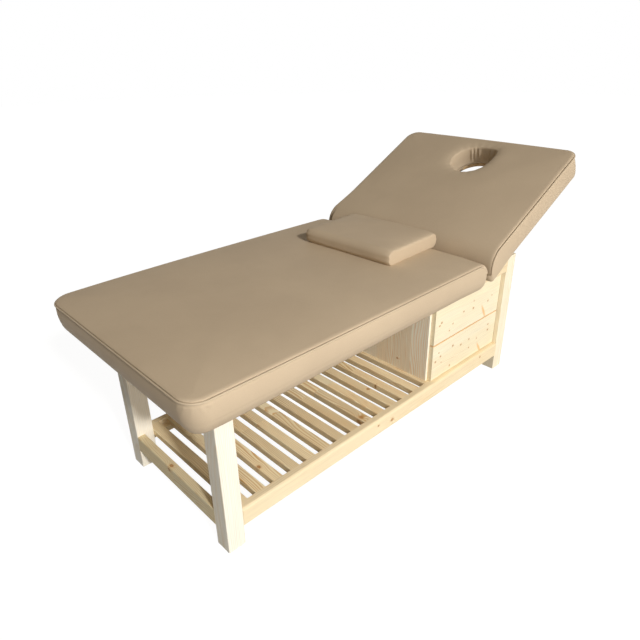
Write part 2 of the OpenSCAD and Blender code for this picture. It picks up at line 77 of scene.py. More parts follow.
class Grain(Enum):
    """The axis that a board's grain runs along, as the turn that lays it on X."""

    LONG = (0.0, 0.0, 0.0)
    ACROSS = (0.0, 0.0, -math.pi / 2)
    UPRIGHT = (0.0, math.pi / 2, 0.0)


def srgb(red: float, green: float, blue: float) -> Colour:
    """Colour as the eye reads it, turned to the linear values that shaders use.

    Args:
        red: red from 0 to 255.
        green: green from 0 to 255.
        blue: blue from 0 to 255.

    Returns:
        Linear red, green, blue and an alpha of 1.
    """
    def linear(value: float) -> float:
        """One channel, by the sRGB curve."""
        c = value / 255
        return c / 12.92 if c <= 0.04045 else ((c + 0.055) / 1.055) ** 2.4

    return linear(red), linear(green), linear(blue), 1.0


def smooth_step(low: float, high: float, value: np.ndarray) -> np.ndarray:
    """Rise from 0 at low to 1 at high, level at both ends: 3t^2 - 2t^3."""
    t = np.clip((value - low) / (high - low), 0, 1)
    return t * t * (3 - 2 * t)


def ease_out(value: np.ndarray, length: float) -> np.ndarray:
    """Quick rise from 0 that levels off at 1 past about three lengths: 1 - e^(-value/length)."""
    return 1 - np.exp(-np.maximum(value, 0) / length)


def fade(value: np.ndarray, length: float) -> np.ndarray:
    """Fall from 1 at 0: e^(-value / length)."""
    return np.exp(-value / length)


def bell(value: np.ndarray, width: float) -> np.ndarray:
    """Bell that is 1 at 0: e^(-(value / width)^2)."""
    return np.exp(-(value / width) ** 2)


def stacked(*parts: np.ndarray | float) -> np.ndarray:
    """Coordinates, or parts of one shape, put together on a new last axis."""
    return np.stack(np.broadcast_arrays(*parts), axis=-1)


def along_unit(angle: np.ndarray) -> np.ndarray:
    """Directions in plan at some angles from +X."""
    return stacked(np.cos(angle), np.sin(angle))


# Mesh making


def linked(name: str, data: bpy.types.ID) -> Piece:
    """A new object with its data, in the scene."""
    piece = bpy.data.objects.new(name, data)
    bpy.context.scene.collection.objects.link(piece)
    return piece


def node_points(name: str) -> np.ndarray:
    """A CAD node's own points, N by 3."""
    mesh = frame["nodes"][name].data
    points = np.empty(len(mesh.vertices) * 3)
    mesh.vertices.foreach_get("co", points)
    return points.reshape(-1, 3)


def mesh_object(name: str, grid: np.ndarray, close_rows: bool = False) -> Piece:
    """Turns a grid of points, whose rows are closed, into a smooth mesh of four-sided faces.

    Args:
        name: the piece's name.
        grid: points, as rows by columns by 3.
        close_rows: joins the last row to the first.

    Returns:
        The new object, with coinciding points merged and faces pointing outwards.
    """
    rows, columns = grid.shape[:2]
    index = np.arange(rows * columns).reshape(rows, columns)
    index = np.concatenate([index, index[:, :1]], axis=1)
    if close_rows:
        index = np.concatenate([index, index[:1]], axis=0)
    quads = np.stack([index[:-1, :-1], index[:-1, 1:], index[1:, 1:], index[1:, :-1]], axis=-1)
    mesh = bpy.data.meshes.new(name)
    mesh.from_pydata(grid.reshape(-1, 3), [], quads.reshape(-1, 4).tolist())
    work = bmesh.new()
    work.from_mesh(mesh)
    bmesh.ops.remove_doubles(work, verts=work.verts, dist=1e-6)
    bmesh.ops.dissolve_degenerate(work, edges=work.edges, dist=1e-7)
    bmesh.ops.recalc_face_normals(work, faces=work.faces)
    work.to_mesh(mesh)
    work.free()
    mesh.shade_smooth()
    return linked(name, mesh)


def tube(name: str, path: np.ndarray, side: np.ndarray, radius: float, facets: int = 12) -> Piece:
    """Round cord with round ends along a path.

    Each ring is the circle path + radius (cos a side + sin a lift), where lift is square to the
    path's tangent and to side.

    Args:
        name: the piece's name.
        path: points along the cord's middle, N by 3.
        side: a direction across the path at each point, N by 3.
        radius: the cord's radius.
        facets: points round the cord.

    Returns:
        The new object.
    """
    tangent = np.gradient(path, axis=0)
    tangent /= np.linalg.norm(tangent, axis=1, keepdims=True)
    side = side - tangent * np.sum(side * tangent, axis=1, keepdims=True)
    side /= np.linalg.norm(side, axis=1, keepdims=True)
    lift = np.cross(tangent, side)
    scale = np.full(len(path), radius)
    cap = np.array([0.0, 0.5, 0.87])
    scale[:3] *= cap
    scale[-3:] *= cap[::-1]
    angle = np.linspace(0, 2 * math.pi, facets, endpoint=False)
    ring = (np.cos(angle)[None, :, None] * side[:, None, :]
            + np.sin(angle)[None, :, None] * lift[:, None, :])
    return mesh_object(name, path[:, None, :] + ring * scale[:, None, None])


@dataclass(frozen=True)
class Outline:
    """Rectangle in plan with round corners, whose points keep their order at any inset.

    Corners run anticlockwise from the one at high x and low y.
    """

    low: Pair
    high: Pair
    radii: tuple[float, float, float, float]
    arc_steps: int = 26
    y_steps: int = 120
    x_steps: int = 190

    def layout(self) -> tuple[np.ndarray, np.ndarray, np.ndarray]:
        """Corner number, angle and share of the way to the next corner, for each point."""
        corner, angle, share = [], [], []
        for k in range(4):
            start = -math.pi / 2 + k * math.pi / 2
            steps = self.y_steps if k % 2 == 0 else self.x_steps
            corner.append(np.full(self.arc_steps + steps - 1, k))
            angle.append(start + np.linspace(0, math.pi / 2, self.arc_steps))
            angle.append(np.full(steps - 1, start + math.pi / 2))
            share.append(np.zeros(self.arc_steps))
            share.append(np.arange(1, steps) / steps)
        return np.concatenate(corner), np.concatenate(angle), np.concatenate(share)

    def normals(self) -> np.ndarray:
        """Outward direction in plan at each point, N by 2."""
        return along_unit(self.layout()[1])

    def ring(self, inset: float | np.ndarray, least: float = 0.004) -> np.ndarray:
        """Points of the outline moved inwards.

        A point on a side lies a fixed share of the way between the arcs at its ends.

        Args:
            inset: one distance, or K of them.
            least: the smallest radius that a corner is left with.

        Returns:
            K by N by 2 points, or N by 2 for one distance.
        """
        corner, angle, share = self.layout()
        step = np.atleast_1d(np.asarray(inset, float))[:, None]
        radius = np.maximum(np.array(self.radii)[None, :] - step, least)
        high_x = np.array([True, True, False, False])
        high_y = np.array([False, True, True, False])
        cx = np.where(high_x, self.high[0] - step - radius, self.low[0] + step + radius)
        cy = np.where(high_y, self.high[1] - step - radius, self.low[1] + step + radius)
        unit, centre = along_unit(angle), stacked(cx, cy)
        arc = centre[:, corner] + radius[:, corner, None] * unit
        after = (corner + 1) % 4
        ahead = centre[:, after] + radius[:, after, None] * unit
        points = arc + (ahead - arc) * share[None, :, None]
        return points[0] if np.ndim(inset) == 0 else points

    def moved_in(self, inset: np.ndarray) -> np.ndarray:
        """Points moved straight in from the outline by K by N distances of their own."""
        return self.ring(0.0)[None] - self.normals()[None] * inset[..., None]

    def length_along(self) -> np.ndarray:
        """Distance along the outline from its first point, for each point."""
        ring = self.ring(0.0)
        return np.concatenate([[0.0], np.cumsum(np.linalg.norm(np.diff(ring, axis=0), axis=1))])


@dataclass(frozen=True)
class Ripple:
    """Slow unevenness of a cover, as a sum of a few fixed waves in plan."""

    height: float
    waves: tuple[Triple, ...] = (
        (5.1, 3.3, 0.4), (-2.7, 7.9, 1.9), (9.7, -4.1, 3.1), (-12.3, -9.1, 5.0), (17.0, 13.0, 2.2))

    def at(self, x: np.ndarray, y: np.ndarray) -> np.ndarray:
        """Height at each point: the mean of sin(a x + b y + c) over the waves, times the height."""
        total = sum(np.sin(a * x + b * y + c) for a, b, c in self.waves)
        return self.height * total / len(self.waves)


# Shader making


class Shader:
    """Short ways to add nodes and links to one node tree."""

    def __init__(self, tree: bpy.types.NodeTree) -> None:
        """Keeps the tree."""
        self.tree = tree

    def put(self, value: object, socket: Link) -> None:
        """Links a socket's output, or sets a plain value, on an input."""
        if isinstance(value, bpy.types.NodeSocket):
            self.tree.links.new(value, socket)
        else:
            socket.default_value = value

    def add(self, kind: str, *values: object, **settings: object) -> bpy.types.Node:
        """Adds a node of a kind.

        Args:
            kind: Blender's name for the node.
            values: numbers or sockets for its first inputs, in order.
            settings: the node's own properties.

        Returns:
            The new node.
        """
        node = self.tree.nodes.new(kind)
        for key, setting in settings.items():
            setattr(node, key, setting)
        for value, socket in zip(values, node.inputs):
            self.put(value, socket)
        return node

    def fed(self, node: bpy.types.Node, **values: object) -> bpy.types.Node:
        """The node, with values on the inputs of those names; _ stands for a space."""
        for key, value in values.items():
            self.put(value, node.inputs[key.replace("_", " ")])
        return node

    def math(self, operation: str, *values: object) -> Link:
        """Result of a Math node on numbers or sockets."""
        return self.add("ShaderNodeMath", *values, operation=operation).outputs[0]

    def times(self, first: object, second: object) -> Link:
        """First times second."""
        return self.math("MULTIPLY", first, second)

    def plus(self, first: object, second: object) -> Link:
        """First plus second."""
        return self.math("ADD", first, second)

    def vector(self, operation: str, *values: object) -> Link:
        """Result of a Vector Math node."""
        node = self.add("ShaderNodeVectorMath", *values, operation=operation)
        return node.outputs["Value" if operation == "LENGTH" else "Vector"]

    def mix(self, share: object, first: object, second: object, blend: str = "MIX") -> Link:
        """Colour between two colours."""
        node = self.add("ShaderNodeMix", data_type="RGBA", blend_type=blend, clamp_factor=True)
        return self.fed(node, Factor=share, A=first, B=second).outputs["Result"]

    def span(self, value: object, low: float, high: float, to_low: float = 0.0,
             to_high: float = 1.0, smooth: bool = False) -> Link:
        """Value moved from one range to another and held inside it."""
        return self.add("ShaderNodeMapRange", value, low, high, to_low, to_high,
                        interpolation_type="SMOOTHSTEP" if smooth else "LINEAR").outputs["Result"]

    def join(self, *values: object) -> Link:
        """Vector of up to three parts."""
        return self.add("ShaderNodeCombineXYZ", *values).outputs[0]

    def tint(self, *values: object) -> Link:
        """Colour of red, green and blue."""
        return self.add("ShaderNodeCombineColor", *values).outputs[0]

    def parts(self, vector: object) -> tuple[Link, ...]:
        """The three parts of a vector."""
        return tuple(self.add("ShaderNodeSeparateXYZ", vector).outputs)

    def channels(self, colour: object) -> tuple[Link, ...]:
        """The red, green and blue of a colour."""
        return tuple(self.add("ShaderNodeSeparateColor", colour).outputs)[:3]

    def noise(self, vector: object, scale: float, detail: float = 2.0, roughness: float = 0.5,
              output: int | str = 0) -> Link:
        """Noise texture: its value, or another output."""
        node = self.fed(self.add("ShaderNodeTexNoise"), Vector=vector, Scale=scale,
                        Detail=detail, Roughness=roughness)
        return node.outputs[output]

    def stretched(self, vector: object, by: Triple, detail: float = 2.0, roughness: float = 0.5,
                  output: int | str = 0) -> Link:
        """Noise with a scale of its own along each axis."""
        return self.noise(self.vector("MULTIPLY", vector, by), 1.0, detail, roughness, output)


class Socket(Enum):
    """Kinds of group socket, under Blender's names."""

    VALUE = "NodeSocketFloat"
    COLOUR = "NodeSocketColor"
    VECTOR = "NodeSocketVector"


Sockets = dict[Socket, tuple[str, ...]]
DRAWN: Sockets = {Socket.COLOUR: ("Color",), Socket.VALUE: ("Roughness", "Height")}


def new_group(name: str, inputs: Sockets, outputs: Sockets
              ) -> tuple[Shader, bpy.types.bpy_prop_collection, bpy.types.bpy_prop_collection]:
    """Starts a node group.

    Args:
        name: the group's name.
        inputs: the names of its inputs, by kind.
        outputs: the names of its outputs, by kind.

    Returns:
        The shader helper, what comes in, and the sockets for what goes out.
    """
    tree = bpy.data.node_groups.new(name, "ShaderNodeTree")
    for way, sockets in (("INPUT", inputs), ("OUTPUT", outputs)):
        for kind, labels in sockets.items():
            for label in labels:
                tree.interface.new_socket(label, in_out=way, socket_type=kind.value)
    shader = Shader(tree)
    return shader, shader.add("NodeGroupInput").outputs, shader.add("NodeGroupOutput").inputs


def pine_group() -> bpy.types.NodeTree:
    """Group that draws sawn pine along X: rings, fibres, knots and a tone for each board.

    A board is a box of the Board size; each has its own pith, some way below its face, and the
    rings are the distance from it in ring widths. A knot is a spot of a cell pattern in
    (x, y + z), so it shows through all faces, and the rings bow round it.

    Returns:
        The node group.
    """
    board_shift = (7.0, 0.21, 0.17)
    knots_along, knots_across, knot_sizes = 7.0, 10.0, (0.022, 0.070)
    pith_wander, pith_depth, pith_turn_y, pith_turn_z = 0.055, 0.03, 0.09, 0.11
    ring_ruffle, ring_bow, bow_reach = 1.1, 2.4, 0.42
    g, given, out = new_group(
        "Pine", {Socket.VECTOR: ("Vector", "Board"), Socket.COLOUR: ("Early", "Late", "Knot"),
                 Socket.VALUE: ("Ring Width", "Knots", "Contrast", "Marks")}, DRAWN)
    cell = g.vector("FLOOR", g.vector("DIVIDE", given["Vector"], given["Board"]))
    chance = g.fed(g.add("ShaderNodeTexWhiteNoise", noise_dimensions="3D"),
                   Vector=g.vector("ADD", cell, (0.5, 0.5, 0.5))).outputs["Color"]
    moved = g.vector("MULTIPLY_ADD", chance, board_shift, given["Vector"])
    x, y, z = g.parts(moved)

    spots = g.fed(g.add("ShaderNodeTexVoronoi", voronoi_dimensions="2D", feature="F1"), Scale=1.0,
                  Vector=g.join(g.times(x, knots_along), g.times(g.plus(y, z), knots_across)))
    pick, big, _ = g.channels(spots.outputs["Color"])
    absent = g.math("SUBTRACT", 1.0, g.math("LESS_THAN", pick, given["Knots"]))
    size = g.span(g.math("POWER", big, 2.0), 0.0, 1.0, *knot_sizes)
    away = g.plus(g.math("DIVIDE", spots.outputs["Distance"], size), g.times(absent, 50.0))
    away = g.math("MINIMUM", away, given["Marks"])

    bend_y, bend_z, _ = g.channels(g.stretched(moved, (1.6, 2.5, 2.5), output="Color"))
    pith_y = g.times(g.math("SUBTRACT", bend_y, 0.5), pith_wander)
    pith_z = g.math("MULTIPLY_ADD", g.math("SUBTRACT", bend_z, 0.5), pith_wander, pith_depth)
    out_y = g.plus(g.math("PINGPONG", y, pith_turn_y), pith_y)
    out_z = g.plus(g.math("PINGPONG", z, pith_turn_z), pith_z)
    far = g.math("SQRT", g.plus(g.math("POWER", out_y, 2.0), g.math("POWER", out_z, 2.0)))
    bow = g.math("EXPONENT", g.times(g.math("POWER", g.times(away, bow_reach), 2.0), -1.0))
    phase = g.plus(g.math("DIVIDE", far, given["Ring Width"]),
                   g.times(g.stretched(moved, (2.2, 30.0, 30.0), 3.0), ring_ruffle))
    ring = g.math("FRACT", g.plus(phase, g.times(bow, ring_bow)))
    late = g.times(g.span(ring, 0.25, 0.86, smooth=True), g.span(ring, 0.99, 0.90, smooth=True))

    fibre = g.stretched(moved, (9.0, 520.0, 520.0), 2.0, 0.6)
    cloud = g.stretched(moved, (3.0, 14.0, 14.0), 3.0)
    strength = g.times(given["Contrast"], g.span(cloud, 0.3, 0.7, 0.35, 1.0))
    colour = g.mix(g.times(late, strength), given["Early"], given["Late"])
    _, second, third = g.channels(chance)
    level = g.times(g.span(fibre, 0.3, 0.7, 0.90, 1.06), g.span(second, 0.0, 1.0, 0.90, 1.05))
    warm = [g.times(level, g.span(third, 0.0, 1.0, *tone)) for tone in ((0.975, 1.005),
                                                                        (0.93, 1.01))]
    colour = g.mix(1.0, colour, g.tint(level, *warm), "MULTIPLY")
    colour = g.mix(g.span(away, 2.4, 0.9, 0.0, 0.45, smooth=True), colour, given["Late"])
    heart = g.span(away, 1.15, 0.8, smooth=True)
    dark = g.mix(g.span(g.noise(moved, 900.0), 0.3, 0.7, 0.1, 0.5), given["Knot"], given["Late"])
    dark = g.mix(g.times(g.span(away, 0.55, 0.9), 0.55), dark, srgb(120, 70, 32))
    g.put(g.mix(g.times(heart, 0.85), colour, dark), out["Color"])
    g.put(g.plus(g.span(fibre, 0.2, 0.8, 0.44, 0.60), g.times(heart, -0.1)), out["Roughness"])
    g.put(g.plus(g.times(fibre, 0.6), g.times(late, 0.4)), out["Height"])
    return g.tree


def mark_group() -> bpy.types.NodeTree:
    """Group that measures how far a point is from one knot, resin streak or band of painted shade,
    in its own sizes.

    The distance is the length of (dx + lean dz, dy, dz) divided by the mark's half sizes, so a
    leaning mark is a slanted ellipse.

    Returns:
        The node group.
    """
    g, given, out = new_group(
        "Mark", {Socket.VECTOR: ("Vector", "Centre", "Half Size"), Socket.VALUE: ("Lean",)},
        {Socket.VALUE: ("Distance",)})
    dx, dy, dz = g.parts(g.vector("SUBTRACT", given["Vector"], given["Centre"]))
    leaning = g.join(g.math("MULTIPLY_ADD", dz, given["Lean"], dx), dy, dz)
    g.put(g.vector("LENGTH", g.vector("DIVIDE", leaning, given["Half Size"])), out["Distance"])
    return g.tree


def vinyl_group() -> bpy.types.NodeTree:
    """Group that draws upholstery vinyl: a pebbled grain with painted shade in its valleys, a slow
    mottle and fine creases.
    """
    g, given, out = new_group(
        "Vinyl", {Socket.VECTOR: ("Vector",), Socket.COLOUR: ("Base", "Mottle"),
                  Socket.VALUE: ("Grain Size", "Shine")}, DRAWN)
    place, grain = given["Vector"], given["Grain Size"]
    pebble = g.fed(g.add("ShaderNodeTexVoronoi", feature="SMOOTH_F1"), Scale=1.0,
                   Vector=g.vector("DIVIDE", place, g.join(grain, grain, grain)))
    pebble = pebble.outputs["Distance"]
    slow, patch = g.noise(place, 3.5, 3.0, 0.55), g.noise(place, 22.0, 4.0, 0.6)
    fine = g.noise(place, 420.0)
    share = g.math("MULTIPLY_ADD", patch, 0.35,
                   g.times(g.span(slow, 0.35, 0.65, smooth=True), 0.65))
    # Painted shade: the colour darkens towards the low valleys between the pebbles
    valley_shade = g.span(pebble, 0.25, 0.75, 1.0, 0.93)
    colour = g.mix(share, given["Base"], given["Mottle"])
    g.put(g.mix(1.0, colour, g.tint(valley_shade, valley_shade, valley_shade), "MULTIPLY"), out["Color"])
    rough = g.plus(given["Shine"], g.span(patch, 0.3, 0.7, -0.02, 0.03))
    g.put(g.plus(g.span(fine, 0.3, 0.7, -0.03, 0.05), rough), out["Roughness"])
    g.put(g.math("MULTIPLY_ADD", g.math("SUBTRACT", 1.0, pebble), 0.8, g.times(fine, 0.2)),
          out["Height"])
    return g.tree


GROUPS = {"pine": pine_group, "mark": mark_group, "vinyl": vinyl_group}


@dataclass
class Surface:
    """A material in the making, with its Principled shader and its Object coordinates."""

    name: str
    groups: dict[str, bpy.types.NodeTree]

    def __post_init__(self) -> None:
        """Starts the material."""
        self.material = bpy.data.materials.new(self.name)
        self.material.use_nodes = True
        self.shader = Shader(self.material.node_tree)
        self.principled = self.material.node_tree.nodes["Principled BSDF"]
        self.place = self.shader.add("ShaderNodeTexCoord").outputs["Object"]

    def drawn(self, group: str, **values: object) -> bpy.types.Node:
        """A shared group, made when it is first asked for, with values on its inputs."""
        if group not in self.groups:
            self.groups[group] = GROUPS[group]()
        node = self.shader.add("ShaderNodeGroup", node_tree=self.groups[group])
        return self.shader.fed(node, **values)

    def turned(self, grain: Grain, shift: Triple = (0.0, 0.0, 0.0)) -> Link:
        """The coordinates with the grain laid along X, moved by a shift."""
        return self.shader.fed(self.shader.add("ShaderNodeMapping"), Vector=self.place,
                               Rotation=grain.value, Location=shift).outputs[0]

    def coat(self, colour: Link, roughness: Link, height: Link, bump: Pair,
             **others: float) -> None:
        """Feeds the Principled shader.

        Args:
            colour: the base colour.
            roughness: the roughness.
            height: the height, which a Bump node turns into normals.
            bump: the bump's strength and its distance.
            others: plain values for other inputs.
        """
        node = self.shader.fed(self.shader.add("ShaderNodeBump"), Height=height,
                               Strength=bump[0], Distance=bump[1])
        self.shader.fed(self.principled, Base_Color=colour, Roughness=roughness,
                        Normal=node.outputs[0], **others)


@dataclass(frozen=True)
class Finish:
    """What a surface is made of."""

    name: str

    def draw(self, surface: Surface) -> None:
        """Draws the finish on a material."""
        raise NotImplementedError


@dataclass(frozen=True)
class VinylFinish(Finish):
    """Soft satin upholstery vinyl."""

    base: Colour
    mottle: Colour
    grain_size: float = 0.0011
    shine: float = 0.50
    bump: Pair = (0.35, 0.00025)

    def draw(self, surface: Surface) -> None:
        """Draws the finish on a material."""
        node = surface.drawn("vinyl", Vector=surface.place, Base=self.base, Mottle=self.mottle,
                             Grain_Size=self.grain_size, Shine=self.shine)
        surface.coat(*node.outputs, self.bump, Specular_IOR_Level=SPECULAR)


@dataclass(frozen=True)
class Mark:
    """A knot, resin streak or band of painted shade at a place of its own, in the frame."""

    place: Triple
    size: Triple = (0.0045, 0.05, 0.004)
    lean: float = 0.0


@dataclass(frozen=True)
class PineFinish(Finish):
    """Planed pine, clear finished."""

    grain: Grain
    board: Triple = (9.0, 0.3, 0.3)
    shift: Triple = (0.0, 0.0, 0.0)
    knots: float = 0.22
    ring_width: float = 0.0042
    contrast: float = 0.75
    early: Colour = srgb(250, 238, 206)
    late: Colour = srgb(226, 186, 126)
    knot: Colour = srgb(176, 116, 66)
    marks: tuple[Mark, ...] = ()
    # Colour and marks of resin stains, and of painted shade along the gap between the drawer fronts
    stain: Colour = srgb(236, 190, 128)
    stains: tuple[Mark, ...] = ()
    bump: Pair = (0.25, 0.0003)
    wobble: float = 0.004

    def draw(self, surface: Surface) -> None:
        """Draws the finish on a material."""
        node = surface.drawn(
            "pine", Vector=surface.turned(self.grain, self.shift), Board=self.board,
            Early=self.early, Late=self.late, Knot=self.knot, Ring_Width=self.ring_width,
            Knots=self.knots, Contrast=self.contrast, Marks=self.nearest(surface, self.marks))
        colour, roughness, height = node.outputs
        # Resin stains, and painted shade at the gap between the drawer fronts, in one colour
        if self.stains:
            away = surface.shader.span(self.nearest(surface, self.stains), 1.3, 0.4, 0.0, 0.85,
                                       smooth=True)
            colour = surface.shader.mix(away, colour, self.stain)
        surface.coat(colour, roughness, height, self.bump, Specular_IOR_Level=SPECULAR)

    def nearest(self, surface: Surface, marks: tuple[Mark, ...]) -> object:
        """Distance to the nearest mark in its own sizes, or a large number without marks."""
        nearest = 99.0
        if marks:
            shader, amount = surface.shader, self.wobble
            waver = shader.noise(surface.place, 160.0, output="Color")
            place = shader.vector("MULTIPLY_ADD", waver, (amount,) * 3, surface.place)
        for mark in marks:
            centre = tuple(value + amount / 2 for value in mark.place)
            node = surface.drawn("mark", Vector=place, Centre=centre, Half_Size=mark.size,
                                 Lean=mark.lean)
            nearest = shader.math("MINIMUM", nearest, node.outputs["Distance"])
        return nearest


@dataclass(frozen=True)
class PlywoodFinish(Finish):
    """Birch plywood with rotary-cut faces."""

    grain: Grain = Grain.LONG
    face: Colour = srgb(214, 184, 138)
    line: Colour = srgb(150, 108, 68)
    bump: Pair = (0.2, 0.0003)

    def draw(self, surface: Surface) -> None:
        """Draws the finish on a material."""
        shader, place = surface.shader, surface.turned(self.grain)
        veneer = shader.stretched(place, (5.0, 60.0, 60.0), 4.0)
        fibre = shader.stretched(place, (20.0, 700.0, 700.0))
        dark = shader.math("MAXIMUM", shader.span(veneer, 0.35, 0.65, 0.0, 0.55, smooth=True),
                           shader.span(fibre, 0.55, 0.75, 0.0, 0.35))
        surface.coat(shader.mix(dark, self.face, self.line),
                     shader.span(fibre, 0.2, 0.8, 0.5, 0.68), fibre, self.bump)


@dataclass(frozen=True)
class SteelFinish(Finish):
    """Zinc-plated steel with brush marks across the bed's length."""

    colour: Colour = srgb(196, 198, 202)
    dull: Colour = srgb(160, 160, 158)
    bump: Pair = (0.1, 0.0002)

    def draw(self, surface: Surface) -> None:
        """Draws the finish on a material."""
        shader, place = surface.shader, surface.place
        brush = shader.stretched(place, (900.0, 30.0, 900.0), 3.0)
        cloud = shader.span(shader.noise(place, 60.0, 3.0), 0.35, 0.65, 0.0, 0.5)
        surface.coat(shader.mix(cloud, self.colour, self.dull),
                     shader.span(brush, 0.3, 0.7, 0.26, 0.44), brush, self.bump, Metallic=1.0)


# Upholstery


@dataclass(frozen=True)
class Cover:
    """Sizes that the two pads' covers share.

    A profile is K pairs of inset and height across the seam, from the top of the side band to
    the edge of the top panel, where inset is counted from the band and height from the seam.
    """

    piping: float = 0.0029
    piping_inset: float = 0.0010
    piping_height: float = -0.0031
    band_inset: float = 0.0024
    shoulder: float = 0.0154
    rise: float = 0.0056
    soft_edge: float = 0.0135
    swell: float = 0.0035
    least_swell: float = 0.15
    recess: float = 0.0237
    hollow: tuple[Pair, ...] = (
        (0.0, -0.0110), (0.0002, -0.0092), (0.0010, -0.0080), (0.0030, -0.0073),
        (0.0048, -0.0060), (0.0052, -0.0038), (0.0048, -0.0018), (0.0032, -0.0006),
        (0.0012, 0.0), (0.0004, 0.0006))

    def piped(self) -> np.ndarray:
        """The hollow that the piping lies in, and the shoulder as a quarter ellipse over it."""
        inset, height = self.hollow[-1]
        turn = np.radians(np.linspace(12, 90, 8))
        roll = stacked(inset + (self.shoulder - inset) * (1 - np.cos(turn)),
                       height + (self.rise - height) * np.sin(turn))
        return np.concatenate([self.hollow, roll])

    def rounded(self) -> np.ndarray:
        """A soft edge without a seam: up the band, round a quarter circle and in."""
        count = len(self.piped())
        turn = np.linspace(0, math.pi / 2, count - 2)
        arc = stacked(self.soft_edge * (1 - np.cos(turn)),
                      self.rise - self.soft_edge * (1 - np.sin(turn)))
        return np.concatenate([self.hollow[:1], arc, [[self.shoulder, self.rise]]])

    def level(self) -> np.ndarray:
        """No edge at all, where the cover runs on: a straight slope."""
        return np.linspace([0.0, 0.0], [self.shoulder, self.rise], len(self.piped()))


@dataclass
class Pad:
    """A firm pad with a boxed side, piping, a low crown and one rounded end without piping.

    It is worked out level, in (x, y, z) with the rounded end at low x, and placed() puts it in
    the frame. The top panel is a sheet in (s, y), where s is x on the flat and goes on round the
    end by arc length, and over() bends the sheet into place.

    A span is the pair of places between which something sets in. A crease is its distance from
    a corner's middle, its slant and its height. under_in and under_up are how far the lower edge
    draws in, and how high up that starts.
    """

    cover: Cover
    name: str
    low: np.ndarray
    high: np.ndarray
    recess_z: float
    nose: float
    corners: tuple[float, float, float, float]
    seam_drop: float = 0.0068
    crown: float = 0.005
    piped_past: float = -1.0
    soft_corner: float = 0.024
    nose_fill: float = 0.25
    fill_reach: float = 0.02
    end_tuck: float = 0.4
    tuck_span: Pair = (0.02, 0.16)
    under_in: float = 0.014
    under_up: float = 0.020
    lean: float = 0.0
    lean_reach: float = 0.10
    groove: float = 1.0
    piping_sink: float = 0.0
    piping_dive: Pair = (0.004, 0.006)
    piping_end: float = 0.0014
    crown_from: float = 0.018
    crown_reach: float = 0.10
    crown_end: float = 0.03
    waves: Pair = (0.0012, 0.0004)
    creases: tuple[Triple, ...] = (
        (-0.052, -1.6, 0.0011), (-0.036, -1.1, 0.0019), (-0.019, -0.5, 0.0014),
        (-0.002, 0.1, 0.0010), (0.014, 0.5, 0.0012), (0.030, 1.0, 0.0013), (0.047, 1.7, 0.0008))
    crease_width: float = 0.0042
    crease_depth: float = 0.020
    gather: float = 0.0004
    sharp_corner: float = 0.048
    corner_pull: float = 0.8
    seam_fade: float = 0.035
    full_band: float = 0.06

    def __post_init__(self) -> None:
        """Works out the seam's height and the outlines of the plan and of the sheet."""
        self.rim = self.low[2]
        self.seam = self.high[2] - self.seam_drop
        self.bend_x = self.low[0] + self.nose
        self.start = self.bend_x - self.nose * math.pi / 2
        y0, y1 = self.low[1], self.high[1]
        self.plan = Outline((self.low[0], y0), (self.high[0], y1), self.corners)
        self.sheet = Outline((self.start, y0), (self.high[0], y1),
                             self.corners[:2] + (self.soft_corner,) * 2)

    def placed(self, points: np.ndarray) -> np.ndarray:
        """Level points put in the frame."""
        return points

    def over(self, s: np.ndarray, y: np.ndarray, h: np.ndarray) -> np.ndarray:
        """Bends the sheet into place.

        On the flat it is (s, y, seam + h). Past the bend it runs round a quarter circle of the
        nose radius, and then straight down.

        Args:
            s: distance along the sheet.
            y: place across the bed.
            h: height over the sheet.

        Returns:
            Level points.
        """
        back = np.maximum(self.bend_x - s, 0)
        angle = np.minimum(back / self.nose, math.pi / 2)
        down = np.maximum(back - self.nose * math.pi / 2, 0)
        x = np.where(s >= self.bend_x, s, self.bend_x) - (self.nose + h) * np.sin(angle)
        z = self.seam - self.nose + (self.nose + h) * np.cos(angle) - down
        return stacked(x, y, z)

    def fullness(self, s: np.ndarray) -> np.ndarray:
        """How much of its fullness the top panel has: all on the flat, little on the end."""
        on_flat = smooth_step(self.start, self.bend_x + self.fill_reach, s)
        return self.nose_fill + (1 - self.nose_fill) * on_flat

    def shares(self) -> tuple[np.ndarray, np.ndarray, np.ndarray]:
        """Share of the piped, the rounded and the level profile at each point of the sheet."""
        corner, angle, _ = self.sheet.layout()
        level = np.where(corner == 2, smooth_step(math.pi / 2, math.pi, angle), 0.0)
        level = np.where(corner == 3, 1 - smooth_step(math.pi, 1.5 * math.pi, angle), level)
        s = self.sheet.ring(0.0)[:, 0]
        piped = (1 - level) * smooth_step(self.piped_past - self.seam_fade, self.piped_past, s)
        return piped, 1 - level - piped, level

    def seam_rows(self) -> np.ndarray:
        """Rows across the seam: the mix of the three profiles, with small gathers.

        The hollow's depth is multiplied by groove, and by less of it at the two far corners.
        """
        cover = self.cover
        parts = zip(self.shares(), (cover.piped(), cover.rounded(), cover.level()))
        profile = sum(share[None, :, None] * rows[:, None, :] for share, rows in parts)
        along = self.sheet.length_along()
        corner, _, share = self.sheet.layout()
        pulled = sum(np.exp(-((along - middle) / self.sharp_corner) ** 4)
                     for middle in self.corner_middles(along))
        groove = self.groove * (1 - self.corner_pull * pulled[None])
        hollow = np.arange(len(profile))[:, None] < len(cover.hollow)
        inset = profile[..., 0] * np.where(hollow, groove, 1.0)
        ring = self.sheet.moved_in(cover.band_inset + inset)
        height = profile[..., 1]
        bunch = np.where((share == 0) & (corner < 2), self.gather, self.gather / 4)
        gather = bunch * np.sin(along * 620 + 1.7 * np.sin(along * 57))
        rising = np.clip(height / cover.rise, 0, 1)
        height = height + gather[None] * np.sin(math.pi * rising)
        height = np.where(height > 0, height * self.fullness(ring[..., 0]), height)
        return self.over(ring[..., 0], ring[..., 1], height)

    def corner_middles(self, along: np.ndarray) -> list[float]:
        """Places along the outline of the middles of the two far corners."""
        corner, _, share = self.sheet.layout()
        return [along[(corner == k) & (share == 0)].mean() for k in (0, 1)]

